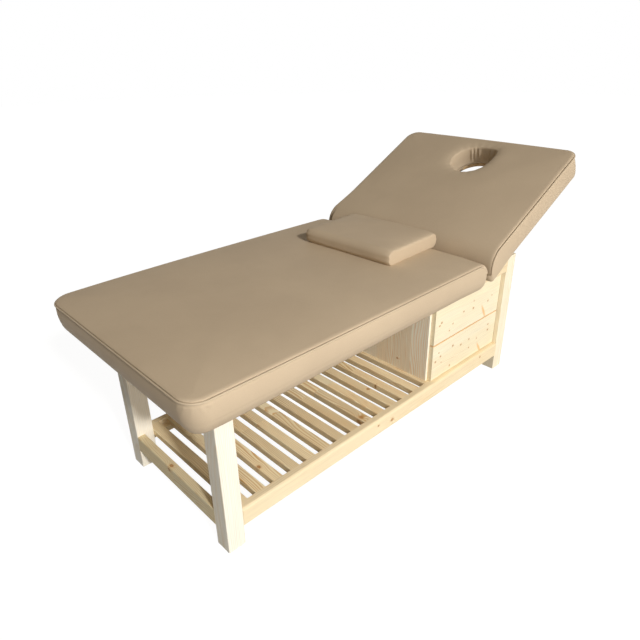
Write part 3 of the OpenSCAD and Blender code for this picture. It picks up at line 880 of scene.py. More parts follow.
    def band(self, foot: np.ndarray, head: np.ndarray) -> np.ndarray:
        """The side band between its lowest and highest row.

        It is upright, swells by sin(pi t)^0.8, and has creases that run down from the seam at
        the two far corners: bumps along lines that slant away from each corner's middle.

        Args:
            foot: the row under the band, N by 3.
            head: the row over it, N by 3.

        Returns:
            K by N by 3 points.
        """
        t = np.linspace(0, 1, 22)[1:-1, None]
        rows = foot[None] + (head - foot)[None] * t[..., None]
        tall = np.clip((head[:, 2] - foot[:, 2]) / self.full_band, 0, 1)
        least = self.cover.least_swell
        out = self.cover.swell * (least + (1 - least) * np.sin(math.pi * t) ** 0.8) * tall[None]
        along, depth = self.sheet.length_along(), head[None, :, 2] - rows[..., 2]
        for middle in self.corner_middles(along):
            for offset, slant, height in self.creases:
                away = along[None] - middle - offset - slant * depth
                crease = bell(away, self.crease_width) * fade(depth, self.crease_depth)
                out = out + height * crease
        normals = np.concatenate([self.plan.normals(), np.zeros((len(foot), 1))], axis=-1)
        return rows + out[..., None] * normals[None]

    def under_rows(self) -> np.ndarray:
        """Rows of the underside, from the recess for the board to the foot of the side band.

        The lower edge draws in by (1 - t)^1.6 as t goes from 1 at its top to 0 at its foot, and
        less at the rounded end. At the other end the band may lean in as a whole.
        """
        cover = self.cover
        recess = self.plan.ring(np.array([cover.recess, cover.recess]))
        t = np.linspace(0, 1, 12)[:, None]
        x = self.plan.ring(0.0)[:, 0]
        size = self.end_tuck + (1 - self.end_tuck) * smooth_step(*self.tuck_span, x - self.low[0])
        far = smooth_step(self.high[0] - self.lean_reach, self.high[0], x)
        inset = cover.band_inset + self.lean * far + self.under_in * size[None] * (1 - t) ** 1.6
        plan = np.concatenate([recess, self.plan.moved_in(inset)])
        height = np.concatenate([np.full((1, len(x)), self.recess_z),
                                 np.full((1, len(x)), self.rim),
                                 self.rim + self.under_up * size[None] * t])
        return stacked(plan[..., 0], plan[..., 1], height)

    def shell(self) -> list[np.ndarray]:
        """Blocks of rows from the recess out to the edge of the top panel."""
        under, seam = self.under_rows(), self.seam_rows()
        return [under, self.band(under[-1], seam[0]), seam]

    def edge_ring(self) -> np.ndarray:
        """The sheet's points, N by 2, at the edge of the top panel."""
        return self.sheet.moved_in(np.array([[self.cover.band_inset + self.cover.shoulder]]))[0]

    def rise(self, s: np.ndarray, y: np.ndarray) -> np.ndarray:
        """Height of the top panel over the sheet: the seam's rise, a crown and slow waves."""
        near = np.minimum(np.minimum(self.sheet.high[0] - s, s - self.start + self.crown_end),
                          np.minimum(y - self.low[1], self.high[1] - y))
        slow = ease_out(near - self.crown_from, self.crown_reach)
        wave = Ripple(self.waves[0]).at(s, y) + Ripple(self.waves[1]).at(3.1 * y, 2.7 * s)
        return (self.cover.rise + (self.crown + wave) * slow) * self.fullness(s)

    def top_panel(self, sheet: np.ndarray) -> np.ndarray:
        """Points of the sheet, K by N by 2, raised and bent into place."""
        s, y = sheet[..., 0], sheet[..., 1]
        return self.over(s, y, self.rise(s, y))

    def piping(self) -> Piece:
        """The piping along the piped part of the seam; its ends dive under the cover.

        The part without a seam splits the outline's points, so those behind it come first.
        """
        cover = self.cover
        piped = self.shares()[0]
        order = np.where(piped > 0.02)[0]
        gap = np.where(np.diff(order) > 1)[0]
        if len(gap):
            order = np.roll(order, -gap[0] - 1)
        at_end = self.piping_end * (1 - self.fullness(self.sheet.ring(0.0)[:, 0]))
        dive_in, dive_down = (depth * (1 - piped) for depth in self.piping_dive)
        height = (cover.piping_height - (self.piping_sink + at_end + dive_down))[order]
        inset = cover.piping_inset + dive_in
        ring, ahead = self.sheet.moved_in(np.stack([inset, inset - 0.001]))[:, order]
        path = self.over(ring[:, 0], ring[:, 1], height)
        outside = self.over(ahead[:, 0], ahead[:, 1], height) - path
        outside = self.placed(outside) - self.placed(np.zeros_like(outside))
        return tube(self.name + "_piping", self.placed(path), outside, cover.piping)


@dataclass
class LowerPad(Pad):
    """The fixed pad, whose rounded end is at the hinge; its long sides bow out a little."""

    hinge_end: float = 0.0
    bow: Pair = (0.0015, 0.0100)
    bow_ends: Pair = (-0.0010, -0.0040)

    @classmethod
    def from_frame(cls, cover: Cover) -> "LowerPad":
        """Takes the pad's box from the frame and turns it so that the hinge end is at x = 0."""
        low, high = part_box("lower_cushion")
        _, board_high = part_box("lower_board")
        return cls(cover, "lower_pad", np.array([0.0, low[1], low[2]]),
                   np.array([high[0] - low[0], high[1], high[2]]), board_high[2] + CLEAR,
                   nose=0.057, corners=(0.056, 0.064, 0.040, 0.022), crown=0.008,
                   piped_past=0.057, end_tuck=0.8, under_in=0.017, under_up=0.036, lean=0.003,
                   hinge_end=high[0])

    def placed(self, points: np.ndarray) -> np.ndarray:
        """Level points put in the frame, with x turned round and the long sides bowed out.

        A point moves out by its share of the half width, times 4u(1 - u), where u is the share
        of the pad's length from the foot to the power 0.7.
        """
        x, y, z = points[..., 0], points[..., 1], points[..., 2]
        u = np.clip(1 - (x - self.low[0]) / (self.high[0] - self.low[0]), 0, 1) ** 0.7
        middle = 4 * u * (1 - u)
        share = y / self.high[1]
        near, far = (end + (bow - end) * middle for end, bow in zip(self.bow_ends, self.bow))
        out = np.where(share < 0, near, far) * share
        return stacked(self.hinge_end - x, y + out, z)

    def build(self) -> tuple[Piece, Piece]:
        """Makes the padded cover and its piping.

        Rows run from the middle of the recess, out under the rim, up the side band, over the
        seam and in along rings that shrink onto the pad's middle line.

        Returns:
            The cover and the piping.
        """
        blocks = self.shell()
        inner = blocks[0][0]
        middle = self.shrink(inner[:, :2], np.array([1.0, 0.66, 0.33]), self.plan)
        recess = stacked(middle[..., 0], middle[..., 1], self.recess_z)
        share = np.linspace(0, 1, 44)[1:] ** 1.2
        top = self.top_panel(self.shrink(self.edge_ring(), share, self.sheet))
        grid = np.concatenate([recess] + blocks + [top], axis=0)
        return mesh_object("lower_pad_cover", self.placed(grid)), self.piping()

    def shrink(self, ring: np.ndarray, share: np.ndarray, outline: Outline) -> np.ndarray:
        """Rings that close on an outline's middle line as share goes from 0 to 1."""
        half = (outline.high[1] - outline.low[1]) / 2
        middle = stacked(np.clip(ring[:, 0], outline.low[0] + half, outline.high[0] - half),
                         outline.low[1] + half)
        return ring[None] + (middle - ring)[None] * share[:, None, None]


@dataclass
class FaceHole:
    """The face hole's shape: squarer and set off at the rim, a true circle through the board.

    The cover dips to the lip with a number of small pulls, and the wall below it has pleats, a
    belly and a flare at its foot.
    """

    centre: Pair
    radius: float
    rim_shift: Pair = (0.0, -0.008)
    rim_radius: float = 0.083
    lip: float = 0.009
    squareness: float = 1.26
    pleat_angles: tuple[float, ...] = (-0.5, 0.16, 0.36, 0.55, 1.9, 2.6, 3.6, 4.5, 5.3)
    pleat_depth: float = 0.0046
    pleat_width: float = 0.055
    corner_width: float = 0.42
    flare: float = 0.0130
    flare_span: Pair = (0.016, -0.002)
    belly: float = 0.0025
    belly_ends: float = 0.7
    board_at: float = 0.62
    clear_under: float = 0.0002
    lip_fold: float = 0.45
    dip: float = 0.0055
    dip_width: float = 0.016
    pull: float = 0.0005
    pulls: int = 19
    pull_width: float = 0.020

    @staticmethod
    def ridge(turn: np.ndarray, width: float) -> np.ndarray:
        """A ridge over angle, exp(-(turn / width)^2), with the turn taken from -pi to pi."""
        return bell(np.mod(turn + math.pi, 2 * math.pi) - math.pi, width)

    def rim(self, angle: np.ndarray) -> np.ndarray:
        """Radius of the rim: a circle that fills out towards its lower head-end corner."""
        corner = self.ridge(angle + math.pi / 4, self.corner_width)
        return self.rim_radius * (1 + (self.squareness - 1) * corner)

    def pleats(self, angle: np.ndarray) -> np.ndarray:
        """Folds of the gathered wall: narrow ridges in angle."""
        turn = angle[None] - np.array(self.pleat_angles)[:, None]
        return self.pleat_depth * self.ridge(turn, self.pleat_width).sum(axis=0)


@dataclass
class HeadPad(Pad):
    """The lifting pad, with its rounded lower end and the face hole.

    bulge_y and bulge_s are the middle and the width of the far rounded corner's bulge.
    """

    hole: FaceHole | None = None
    tilt: float = 0.0
    pivot: np.ndarray | None = None
    board_under: float = 0.0
    end_bow: float = 0.003
    end_reach: float = 0.2
    nose_spread: float = 0.014
    spread_span: Pair = (0.22, 0.03)
    far_bulge: float = 0.010
    bulge_y: Pair = (0.385, 0.07)
    bulge_s: Pair = (0.055, 0.035)

    @classmethod
    def from_frame(cls, cover: Cover) -> "HeadPad":
        """Takes the tilt, the hinge line and the level sizes from the frame."""
        joint = next(j for j in frame["joints"] if j["name"] == "head_tilt")
        tilt, pivot = -math.radians(joint["range_deg"][0]), np.array(joint["pos_m"], float)
        cushion = cls.level_points("head_cushion", tilt, pivot)
        board = cls.level_points("head_board", tilt, pivot)
        low, high = cushion.min(axis=0), cushion.max(axis=0)
        top = board[:, 2].max()
        # The hole's edge: the cushion's points at the board's top, away from the pad's own edges.
        inner = cushion[(np.abs(cushion[:, 2] - top) < 0.001) & (np.abs(cushion[:, 1]) < 0.15)]
        inner = inner[(inner[:, 0] > low[0] + 0.2) & (inner[:, 0] < high[0] - 0.04), 0]
        hole = FaceHole(((inner.min() + inner.max()) / 2, 0.0), (inner.max() - inner.min()) / 2)
        return cls(cover, "head_pad", low, high, top + CLEAR, nose=0.080,
                   corners=(0.042, 0.052, 0.016, 0.014), crown=0.005, hole=hole, tilt=tilt,
                   pivot=pivot, board_under=board[:, 2].min(), groove=1.4,
                   piping_sink=0.0014)

    @staticmethod
    def level_points(node: str, tilt: float, pivot: np.ndarray) -> np.ndarray:
        """A CAD node's points, turned level about the hinge line.

        Args:
            node: the node's name.
            tilt: its angle above level.
            pivot: a point of the hinge line.

        Returns:
            The points, N by 3, from the hinge line.
        """
        world = np.array(frame["nodes"][node].matrix_world)
        away = node_points(node) @ world[:3, :3].T + world[:3, 3] - pivot
        c, s = math.cos(tilt), math.sin(tilt)
        return stacked(away[:, 0] * c + away[:, 2] * s, away[:, 1],
                       -away[:, 0] * s + away[:, 2] * c)

    def placed(self, points: np.ndarray) -> np.ndarray:
        """Level points put back in the frame, tilted up about the hinge line.

        The head end bows out by a parabola across the bed. The rounded end spreads on its far
        side, by the cube of y's share of the half width.
        """
        c, s = math.cos(self.tilt), math.sin(self.tilt)
        x, y, z = points[..., 0], points[..., 1], points[..., 2]
        at_end = smooth_step(self.high[0] - self.end_reach, self.high[0], x)
        x = x + self.end_bow * (1 - (y / self.high[1]) ** 2) * at_end
        far = np.clip(y / self.high[1], 0, 1) ** 3
        y = y + self.nose_spread * far * smooth_step(*self.spread_span, x)
        return stacked(x * c - z * s, y, x * s + z * c) + self.pivot

    def rise(self, s: np.ndarray, y: np.ndarray) -> np.ndarray:
        """Height of the top panel, with what the face hole and the far rounded corner change.

        The cover dips to the hole, by e^(-distance / width), with small folds round it. At the
        corner it bulges by a bell in y and in s.
        """
        hole = self.hole
        away_x = s - hole.centre[0] - hole.rim_shift[0]
        away_y = y - hole.centre[1] - hole.rim_shift[1]
        angle = np.arctan2(away_y, away_x)
        ring = np.maximum(np.hypot(away_x, away_y) - hole.rim(angle) - hole.lip, 0)
        dip = hole.dip * fade(ring, hole.dip_width)
        pull = hole.pull * fade(ring, hole.pull_width) * np.sin(hole.pulls * angle)
        (y_middle, y_width), (s_middle, s_width) = self.bulge_y, self.bulge_s
        bulge = bell(y - y_middle, y_width) * bell(s - self.start - s_middle, s_width)
        return super().rise(s, y) - dip + pull + self.far_bulge * bulge

    def build(self) -> tuple[Piece, Piece]:
        """Makes the padded cover and its piping.

        Rows run from the hole through the board out along the recess, under the rim, up the
        side, over the seam, in along the top panel to the face hole and down its wall.

        Returns:
            The cover and the piping.
        """
        top, wall = self.top_and_wall(self.edge_ring())
        lining = wall[-1].copy()
        lining[:, 2] = self.recess_z
        grid = np.concatenate([lining[None]] + self.shell() + [top, wall], axis=0)
        return mesh_object("head_pad_cover", self.placed(grid), close_rows=True), self.piping()

    def top_and_wall(self, ring: np.ndarray) -> tuple[np.ndarray, np.ndarray]:
        """The top panel from a ring of the sheet in to the face hole, and the hole's wall.

        The rings go in straight lines to the rim. The lip is a quarter circle. The wall's
        radius and centre go smoothly from the rim's to the board hole's, with a belly, the
        pleats and, from the recess down, a flare.

        Args:
            ring: points of the sheet, N by 2.

        Returns:
            The rows of the top panel and of the wall, as level points.
        """
        hole = self.hole
        base = np.array(hole.centre)
        centre = base + np.array(hole.rim_shift)
        away = ring - centre
        angle = np.arctan2(away[:, 1], away[:, 0])
        unit, reach = along_unit(angle), hole.rim(angle)
        rim = centre + unit * (reach + hole.lip)[:, None]
        share = 1 - (1 - np.linspace(0, 1, 66)[1:, None, None]) ** 1.25
        top = self.top_panel(ring[None] + (rim - ring)[None] * share)
        edge_z = top[-1][:, 2]
        turn = np.linspace(0, math.pi / 2, 8)[1:, None]
        lip_r = reach[None] + hole.lip * (1 - np.sin(turn))
        lip_z = edge_z[None] - hole.lip * (1 - np.cos(turn))
        depth = np.linspace(0, 1, 30)[1:, None]
        floor = self.board_under + hole.clear_under
        wall_z = lip_z[-1][None] + (floor - lip_z[-1])[None] * depth
        to_board = smooth_step(0.0, hole.board_at, depth)
        belly = -hole.belly * np.sin(math.pi * np.clip(depth / hole.belly_ends, 0, 1))
        spread = hole.flare * smooth_step(*hole.flare_span, wall_z - self.recess_z)
        fold, drawn = hole.pleats(angle)[None], np.sin(math.pi * np.clip(0.25 + depth * 1.1, 0, 1))
        wall_r = reach[None] * (1 - to_board) + hole.radius * to_board + belly + spread
        lip_r = lip_r - hole.lip_fold * fold * np.sin(turn)
        radius = np.concatenate([lip_r, wall_r - fold * drawn])
        level = np.concatenate([lip_z, wall_z])
        shift = np.concatenate([np.zeros((len(turn), 1)), to_board])[..., None]
        middle = centre[None, None] + (base - centre)[None, None] * shift
        points = middle + unit[None] * radius[..., None]
        return top, stacked(points[..., 0], points[..., 1], level)


@dataclass
class HingeStrip:
    """Vinyl strip that closes the valley between the two pads, over the hinge."""

    lower: LowerPad
    head: HeadPad
    half_width: float = 0.380
    thickness: float = 0.0014
    height: float = 0.586
    climb: float = 0.002
    sag: float = 0.004
    gap: Pair = (-0.0012, 0.0004)
    ruffles: tuple[Triple, ...] = ((0.0008, 37, 0), (0.0005, 81, 1))

    def build(self) -> Piece:
        """Makes the strip: a sagging curve from pad to pad, carried across the bed."""
        start = np.array([self.lower.hinge_end + self.gap[0], self.height])
        top = self.height + self.climb
        nose_x, nose_z = self.nose_middle()
        reach = self.head.nose + self.gap[1]
        end = np.array([nose_x - math.sqrt(reach ** 2 - (top - nose_z) ** 2), top])
        t = np.linspace(0, 1, 17)
        line = start + (end - start) * t[:, None]
        line[:, 1] -= self.sag * np.sin(math.pi * t)
        slope = np.gradient(line, axis=0)
        normal = stacked(-slope[:, 1], slope[:, 0])
        normal /= np.linalg.norm(normal, axis=1, keepdims=True)
        half = normal * self.thickness / 2
        loop = np.concatenate([line + half, (line - half)[::-1]])
        across = np.linspace(-self.half_width, self.half_width, 60)
        ruffle = sum(height * np.sin(across * pace + start_at)
                     for height, pace, start_at in self.ruffles)
        weight = np.sin(math.pi * np.concatenate([t, t[::-1]]))
        grid = stacked(loop[None, :, 0], across[:, None],
                       loop[None, :, 1] + ruffle[:, None] * weight[None])
        ends = np.broadcast_to(grid.mean(axis=1, keepdims=True), grid.shape)
        strip = mesh_object("hinge_strip", np.concatenate([ends[:1], grid, ends[-1:]]))
        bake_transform(strip)
        return strip

    def nose_middle(self) -> np.ndarray:
        """The middle of the head pad's rounded end, in x and z of the frame."""
        centre = np.array([[self.head.bend_x, 0.0, self.head.seam - self.head.nose]])
        return self.head.placed(centre)[0][[0, 2]]


@dataclass
class Pillow:
    """The loose pillow: one panel wrapped round the long edges and flat ends with a seam.

    It is worked out square to the bed about its own middle, and then turned a little. A reach
    is the distance from the end seam over which something fades.
    """

    node: str = "pillow"
    turn: float = math.radians(2.5)
    round_edge: float = 0.024
    round_foot: float = 0.0252
    crown: float = 0.006
    seam_inset: float = 0.0030
    seam_reach: float = 0.006
    taper: float = 0.0018
    taper_reach: float = 0.030
    pucker: float = 0.0011
    pucker_reach: float = 0.014
    wave: float = 0.0016
    end_swell: float = 0.0022
    end_dish: float = 0.0012
    end_seam: float = 0.012

    def __post_init__(self) -> None:
        """Takes the pillow's middle from its box and its sizes from its points turned square."""
        low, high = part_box(self.node)
        self.middle = np.array([(low[0] + high[0]) / 2, (low[1] + high[1]) / 2, 0.0])
        square = self.turned(node_points(self.node) - self.middle, -self.turn)
        self.low, self.high = square.min(axis=0), square.max(axis=0)

    def turned(self, points: np.ndarray, angle: float) -> np.ndarray:
        """Points turned about the upright axis by an angle."""
        c, s = math.cos(angle), math.sin(angle)
        x, y = points[..., 0], points[..., 1]
        return stacked(x * c - y * s, x * s + y * c, points[..., 2])

    def section(self) -> tuple[np.ndarray, np.ndarray]:
        """Points and outward directions of a rounded rectangle in (x, z) about its middle."""
        half_x = (self.high[0] - self.low[0]) / 2
        half_z = (self.high[2] - self.low[2] - self.crown) / 2
        top, low = (min(size, half_z - 0.001) for size in (self.round_edge, self.round_foot))
        outline = Outline((-half_x, -half_z), (half_x, half_z), (low, top, top, low),
                          arc_steps=14, y_steps=6, x_steps=64)
        return outline.ring(0.0), outline.normals()

    def build(self) -> Piece:
        """Makes the pillow as sections across the bed, drawn in and puckered at the end seams."""
        ring, normals = self.section()
        half_x = ring[:, 0].max()
        lift_z = self.low[2] + (self.high[2] - self.low[2] - self.crown) / 2
        half_y = (self.high[1] - self.low[1]) / 2 - self.end_swell
        tight = np.array([0, 0.003, 0.007, 0.012, 0.02, 0.032, 0.05, 0.07, 0.09])
        v = np.concatenate([-1 + tight, np.linspace(-0.885, 0.885, 84), (1 - tight)[::-1]])
        edge = (1 - np.abs(v)) * half_y
        draw = self.seam_inset * fade(edge, self.seam_reach)
        draw = draw + self.taper * fade(edge, self.taper_reach)
        u = ring[:, 0] / half_x
        top = np.clip(normals[:, 1], 0, 1)
        crown = self.crown * (1 - u ** 2)[None] * (1 - v ** 4)[:, None] * top[None]
        away = ring[:, 0] * 190 + 2.2 * np.sin(ring[:, 0] * 41) + ring[:, 1] * 260
        pucker = self.pucker * fade(edge, self.pucker_reach)[:, None] * np.sin(away)[None]
        wave = Ripple(self.wave).at(ring[None, :, 0] * 3, v[:, None] * 0.6)
        lift = (pucker + wave * ease_out(edge, 0.03)[:, None]) * (normals[:, 1] > -0.2)[None]
        out = lift - draw[:, None]
        x = ring[None, :, 0] + out * normals[None, :, 0]
        z = lift_z + ring[None, :, 1] + out * normals[None, :, 1] + crown
        body = stacked(x, (v * half_y)[:, None], z)
        first, last = (self.end_panel(body[k], side, half_y, lift_z)
                       for k, side in ((0, -1), (-1, 1)))
        grid = np.concatenate([first[::-1], body, last])
        return mesh_object("pillow_cover", self.turned(grid, self.turn) + self.middle)

    def end_panel(self, edge: np.ndarray, side: int, half_y: float, lift_z: float) -> np.ndarray:
        """An end panel: rings that close on its middle, dished at the seam and swelling inside.

        Args:
            edge: the pillow's last section.
            side: -1 or 1, the way that the panel faces.
            half_y: distance of the seam from the pillow's middle.
            lift_z: height of the section's middle.

        Returns:
            The rings, from the seam inwards.
        """
        share = np.array([0.012, 0.03, 0.06, 0.10, 0.16, 0.25, 0.4, 0.6, 0.8, 1.0])
        target = np.array([0.0, 0.0, lift_z])
        rings = edge[None] + (target - edge)[None] * share[:, None, None]
        swell = self.end_swell * ease_out(share - self.end_seam, 0.16)
        dish = self.end_dish * fade(share, self.end_seam)
        rings[..., 1] = side * (half_y + (swell - dish)[:, None])
        return rings


# Dressing


@dataclass
class Dresser:
    """Gives materials to CAD nodes and to new pieces."""

    groups: dict[str, bpy.types.NodeTree] = field(default_factory=dict)
    made: dict[str, bpy.types.Material] = field(default_factory=dict)

    def material(self, finish: Finish) -> bpy.types.Material:
        """The material of a finish, made once."""
        if finish.name not in self.made:
            surface = Surface(finish.name, self.groups)
            finish.draw(surface)
            self.made[finish.name] = surface.material
        return self.made[finish.name]

    def nodes(self, finish: Finish, *starts: str) -> None:
        """Puts a finish on the CAD nodes whose names start in one of these ways."""
        for name, piece in frame["nodes"].items():
            if name.startswith(starts):
                for place in piece.material_slots:
                    place.material = self.material(finish)
                LOG.info("%s wears %s", name, finish.name)

    def piece(self, finish: Finish, piece: Piece, body: str | None) -> None:
        """Puts a vinyl finish on a new piece and lets it ride on a body.

        Args:
            finish: the finish.
            piece: the new piece.
            body: the body that carries it, or None where it is blended already.
        """
        piece.data.materials.append(self.material(finish))
        if body is not None:
            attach(piece, body)
        LOG.info("%s: %d faces, wears %s", piece.name, len(piece.data.polygons), finish.name)


@dataclass
class Upholstery:
    """The two pads, their piping, the strip between them and the pillow."""

    dresser: Dresser
    cover: Cover = Cover()
    vinyl: VinylFinish = VinylFinish("vinyl_taupe", srgb(204, 184, 156), srgb(197, 177, 150))
    cord: VinylFinish = VinylFinish("vinyl_piping", srgb(206, 187, 160), srgb(198, 179, 152),
                                    shine=0.42)

    def build(self) -> None:
        """Builds and dresses every soft piece."""
        lower, head = LowerPad.from_frame(self.cover), HeadPad.from_frame(self.cover)
        for pad, body, node in ((lower, "base", "lower_cushion"),
                                (head, "head_section", "head_cushion")):
            cover, piping = pad.build()
            self.dresser.piece(self.vinyl, cover, body)
            self.dresser.piece(self.cord, piping, body)
            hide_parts(node)
        self.dresser.piece(self.vinyl, HingeStrip(lower, head).build(), None)
        pillow = Pillow().build()
        self.dresser.piece(self.vinyl, pillow, "pillow")
        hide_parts("pillow")


def face_marks(places: tuple[Pair, ...], y: float) -> tuple[Mark, ...]:
    """Small knots at places (x, z) of a face that looks along Y, in sizes that take turns."""
    sizes = ((0.0042, 0.05, 0.0036), (0.0032, 0.05, 0.0029), (0.0050, 0.05, 0.0042))
    return tuple(Mark((x, y, z), sizes[k % 3]) for k, (x, z) in enumerate(places))


def pine(name: str, grain: Grain, early: Triple, late: Triple, **others: object) -> PineFinish:
    """A pine finish of two wood colours, from 0 to 255, with its other fields by name."""
    return PineFinish(name, grain, early=srgb(*early), late=srgb(*late), **others)


@dataclass
class Timber:
    """The finishes of the frame, shelf, cabinet and drawers."""

    dresser: Dresser
    front_y: float = -0.268
    rail_y: float = -0.288
    front_knots: tuple[Pair, ...] = (
        (0.384, 0.369), (0.314, 0.342), (0.237, 0.373), (0.226, 0.364), (0.294, 0.319),
        (0.452, 0.361), (0.561, 0.358), (0.588, 0.374), (0.389, 0.219), (0.446, 0.222),
        (0.506, 0.203), (0.589, 0.212), (0.587, 0.239), (0.451, 0.180), (0.330, 0.238),
        (0.249, 0.222), (0.236, 0.243), (0.218, 0.210), (0.319, 0.152))
    resin: tuple[Mark, ...] = (
        Mark((0.535, -0.268, 0.318), (0.0085, 0.05, 0.036), 0.56),
        Mark((0.533, -0.268, 0.147), (0.0080, 0.05, 0.032), 0.61))
    rail_knots: tuple[Pair, ...] = (
        (0.519, 0.114), (-0.513, 0.145), (-0.283, 0.148), (-0.133, 0.107))
    side_knots: tuple[Mark, ...] = (
        Mark((0.185, -0.108, 0.175), (0.05, 0.0038, 0.0046)),)
    slat_knots: tuple[Mark, ...] = (
        Mark((0.026, -0.130, 0.130), (0.0045, 0.0055, 0.03)),
        Mark((-0.013, -0.130, 0.130), (0.0048, 0.0060, 0.03)),
        Mark((-0.581, -0.178, 0.130), (0.0055, 0.0070, 0.03)),
        Mark((-0.397, -0.231, 0.130), (0.0048, 0.0055, 0.03)))

    def gap_shade(self) -> Mark:
        """Painted shade: darker edges on both sides of the gap between the drawer fronts, where
        shade falls into the gap.
        """
        low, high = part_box("drawer_lower_front")
        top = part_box("drawer_upper_front")[0][2]
        return Mark(((low[0] + high[0]) / 2, low[1], (high[2] + top) / 2), (0.6, 0.1, 0.0036))

    def dress(self) -> None:
        """Dresses every wooden and metal node."""
        dress, leg = self.dresser.nodes, {"board": (9.0, 0.4, 0.7), "knots": 0.12}
        low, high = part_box("slat_1")
        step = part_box("slat_2")[0][0] - low[0]
        half_gap = (step - (high[0] - low[0])) / 2
        dress(pine("pine_leg", Grain.UPRIGHT, (255, 252, 242), (244, 227, 195),
                   ring_width=0.0055, contrast=0.5, **leg), "leg_foot")
        dress(pine("pine_head_leg", Grain.UPRIGHT, (255, 248, 228), (242, 216, 172),
                   shift=(0.0, 0.1, 0.02), contrast=0.7, **leg), "leg_head")
        dress(pine("pine_side_rail", Grain.LONG, (245, 231, 198), (222, 184, 128),
                   board=(9.0, 0.4, 0.3), shift=(0.3, 0.0, 0.05), knots=0.10, contrast=0.7,
                   marks=face_marks(self.rail_knots, self.rail_y)),
              "lower_rail_front", "lower_rail_back", "upper_rail_front", "upper_rail_back",
              "ledger_")
        dress(pine("pine_end_rail", Grain.ACROSS, (246, 233, 196), (222, 184, 124),
                   board=(9.0, 0.4, 0.3), knots=0.08),
              "lower_rail_foot", "lower_rail_head", "upper_rail_foot", "upper_rail_head",
              "bearer_")
        dress(pine("pine_slat", Grain.ACROSS, (251, 237, 200), (212, 166, 102),
                   board=(9.0, step, 0.4), shift=(0.0, low[0] - half_gap, 0.0), knots=0.16,
                   contrast=1.0, marks=self.slat_knots), "slat_")
        dress(pine("pine_upright_panel", Grain.UPRIGHT, (255, 252, 238), (243, 212, 172),
                   board=(9.0, 0.085, 0.3), knots=0.0, contrast=1.0, marks=self.side_knots),
              "cabinet_side", "cabinet_end", "cabinet_back")
        dress(PineFinish("pine_level_panel", Grain.LONG, board=(9.0, 0.085, 0.3), knots=0.2),
              "cabinet_top", "cabinet_floor", "cabinet_divider")
        dress(pine("pine_front", Grain.LONG, (251, 243, 216), (234, 202, 152),
                   board=(9.0, 0.3, 0.086), shift=(0.12, 0.0, 0.03), knots=0.12, contrast=0.6,
                   marks=face_marks(self.front_knots, self.front_y),
                   # Resin stains, and painted shade along the gap between the drawer fronts
                   stains=self.resin + (self.gap_shade(),)),
              "drawer_lower_front", "drawer_upper_front")
        dress(PineFinish("pine_runner", Grain.ACROSS, knots=0.1), "runner_")
        dress(pine("beech_arm", Grain.UPRIGHT, (226, 190, 148), (200, 156, 112), knots=0.0,
                   contrast=0.4), "prop_arm_", "guide_")
        dress(pine("beech_rod", Grain.ACROSS, (222, 184, 142), (196, 150, 106), knots=0.0,
                   contrast=0.4), "prop_cross_rod")
        dress(PlywoodFinish("plywood_board"), "lower_board", "head_board")
        dress(PlywoodFinish("plywood_drawer", Grain.ACROSS), "drawer_lower_box",
              "drawer_upper_box")
        dress(SteelFinish("zinc_steel"), "hinge_", "prop_pivot_rod")


# Studio


@dataclass(frozen=True)
class Viewpoint:
    """Where the photograph was taken from, relative to the foot of the front foot leg."""

    from_leg: Triple = (-0.57986, -1.01808, 1.33662)
    heading: float = 0.81650
    dip: float = 0.46906
    roll: float = -0.01764
    lens: float = 31.341
    sensor: float = 36.0
    shift_y: float = -0.0011
    reach: float = 60.0

    def build(self) -> None:
        """Makes the camera: heading is from +X towards +Y, and dip is below the horizon."""
        camera = linked("camera", bpy.data.cameras.new("camera"))
        camera.data.lens, camera.data.sensor_width = self.lens, self.sensor
        camera.data.shift_y, camera.data.clip_end = self.shift_y, self.reach
        ahead = Vector((math.cos(self.dip) * math.cos(self.heading),
                        math.cos(self.dip) * math.sin(self.heading), -math.sin(self.dip)))
        right = Vector((math.sin(self.heading), -math.cos(self.heading), 0.0))
        tilted = right * math.cos(self.roll) + right.cross(ahead) * math.sin(self.roll)
        place = Matrix((tilted, tilted.cross(ahead), -ahead)).transposed().to_4x4()
        place.translation = Vector(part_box("leg_foot_front")[0]) + Vector(self.from_leg)
        camera.matrix_world = place
        bpy.context.scene.camera = camera


@dataclass(frozen=True)
class Softbox:
    """One wide soft lamp that looks at a point, from a place."""

    name: str
    place: Triple
    aim: Triple
    size: Pair
    power: float

    def build(self, colour: Triple) -> None:
        """Makes the lamp in a colour."""
        data = bpy.data.lights.new(self.name, type="AREA")
        data.shape, data.energy, data.color = "RECTANGLE", self.power, colour
        data.size, data.size_y = self.size
        lamp = linked(self.name, data)
        lamp.location = self.place
        look = Vector(self.aim) - Vector(self.place)
        lamp.rotation_euler = look.to_track_quat("-Z", "Y").to_euler()


@dataclass(frozen=True)
class KeyLamp:
    """The lamp that draws the shadows: parallel light from a disc of some width in angle."""

    towards: Triple = (-0.17, -0.85, 0.50)
    strength: float = 2.05
    width: float = math.radians(4.0)

    def build(self, colour: Triple) -> None:
        """Makes the lamp in a colour."""
        data = bpy.data.lights.new("key", type="SUN")
        data.energy, data.angle, data.color = self.strength, self.width, colour
        look = -Vector(self.towards)
        linked("key", data).rotation_euler = look.to_track_quat("-Z", "Y").to_euler()


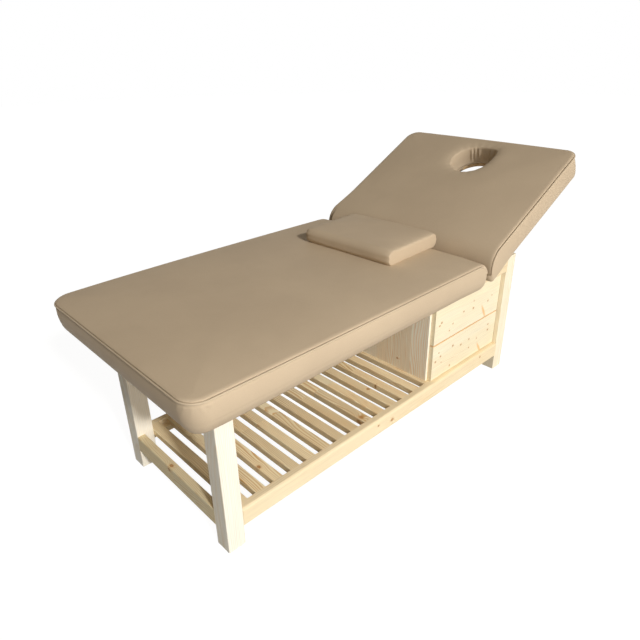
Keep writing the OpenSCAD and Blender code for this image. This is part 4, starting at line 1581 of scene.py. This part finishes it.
@dataclass
class Studio:
    """Pale floor, plain studio lamps and a white background."""

    lamps: tuple[KeyLamp | Softbox, ...] = (
        KeyLamp(),
        Softbox("front_low", (0.1, -3.6, 0.45), (0.0, 0.0, 0.40), (4.2, 0.9), 21.0),
        Softbox("front_high", (-0.45, -1.45, 1.35), (-0.15, 0.0, 0.60), (2.6, 0.5), 12.0))
    lamp_colour: Triple = (1.0, 0.99, 0.985)
    ambient: Triple = (0.135, 0.115, 0.081)
    ambient_lean: float = 0.45
    floor_colour: Colour = (0.50, 0.50, 0.50, 1.0)
    floor_z: float = -0.0005
    floor_radius: float = 14.0
    floor_share: float = 0.70
    floor_glow: float = 1.36

    def build(self) -> None:
        """Makes the lamps, the world and the floor."""
        for lamp in self.lamps:
            lamp.build(self.lamp_colour)
        self.world()
        self.floor()
        bpy.context.scene.view_settings.view_transform = "Standard"

    def seen(self, shader: Shader) -> Link:
        """1 for what the camera sees straight, in a reflection or through glass, else 0."""
        path = shader.add("ShaderNodeLightPath").outputs
        seen = shader.math("MAXIMUM", path["Is Camera Ray"], path["Is Glossy Ray"])
        return shader.math("MAXIMUM", seen, path["Is Transmission Ray"])

    def world(self) -> None:
        """White where it is seen, and otherwise a soft warm light, weaker from the foot end."""
        world = bpy.data.worlds.new("studio")
        bpy.context.scene.world = world
        world.use_nodes = True
        shader = Shader(world.node_tree)
        along = shader.parts(shader.add("ShaderNodeTexCoord").outputs["Generated"])[0]
        level = shader.math("MULTIPLY_ADD", along, self.ambient_lean, 1.0)
        soft = shader.mix(1.0, self.ambient + (1.0,), shader.tint(level, level, level), "MULTIPLY")
        shader.fed(world.node_tree.nodes["Background"],
                   Color=shader.mix(self.seen(shader), soft, (1.0, 1.0, 1.0, 1.0)))

    def floor(self) -> None:
        """A wide disc just under the legs, white where it is seen but for the soft shadow."""
        radius = np.linspace(0.0, self.floor_radius, 12)
        angle = np.linspace(0, 2 * math.pi, 64, endpoint=False)
        floor = mesh_object("floor", stacked(radius[:, None] * np.cos(angle),
                                             radius[:, None] * np.sin(angle), self.floor_z))
        surface = Surface("studio_floor", {})
        shader = surface.shader
        diffuse = shader.fed(surface.principled, Base_Color=self.floor_colour, Roughness=0.9,
                             Specular_IOR_Level=0.0)
        glow = shader.fed(shader.add("ShaderNodeEmission"), Strength=self.floor_glow)
        share = shader.math("MULTIPLY", self.seen(shader), self.floor_share)
        blend = shader.add("ShaderNodeMixShader", share, diffuse.outputs[0], glow.outputs[0])
        shader.fed(surface.material.node_tree.nodes["Material Output"], Surface=blend.outputs[0])
        floor.data.materials.append(surface.material)


def main() -> None:
    """Builds the looks in order."""
    logging.basicConfig(level=logging.INFO, format="%(name)s: %(message)s")
    Viewpoint().build()
    Studio().build()
    dresser = Dresser()
    Timber(dresser).dress()
    Upholstery(dresser).build()


if __name__ == "__main__":
    main()
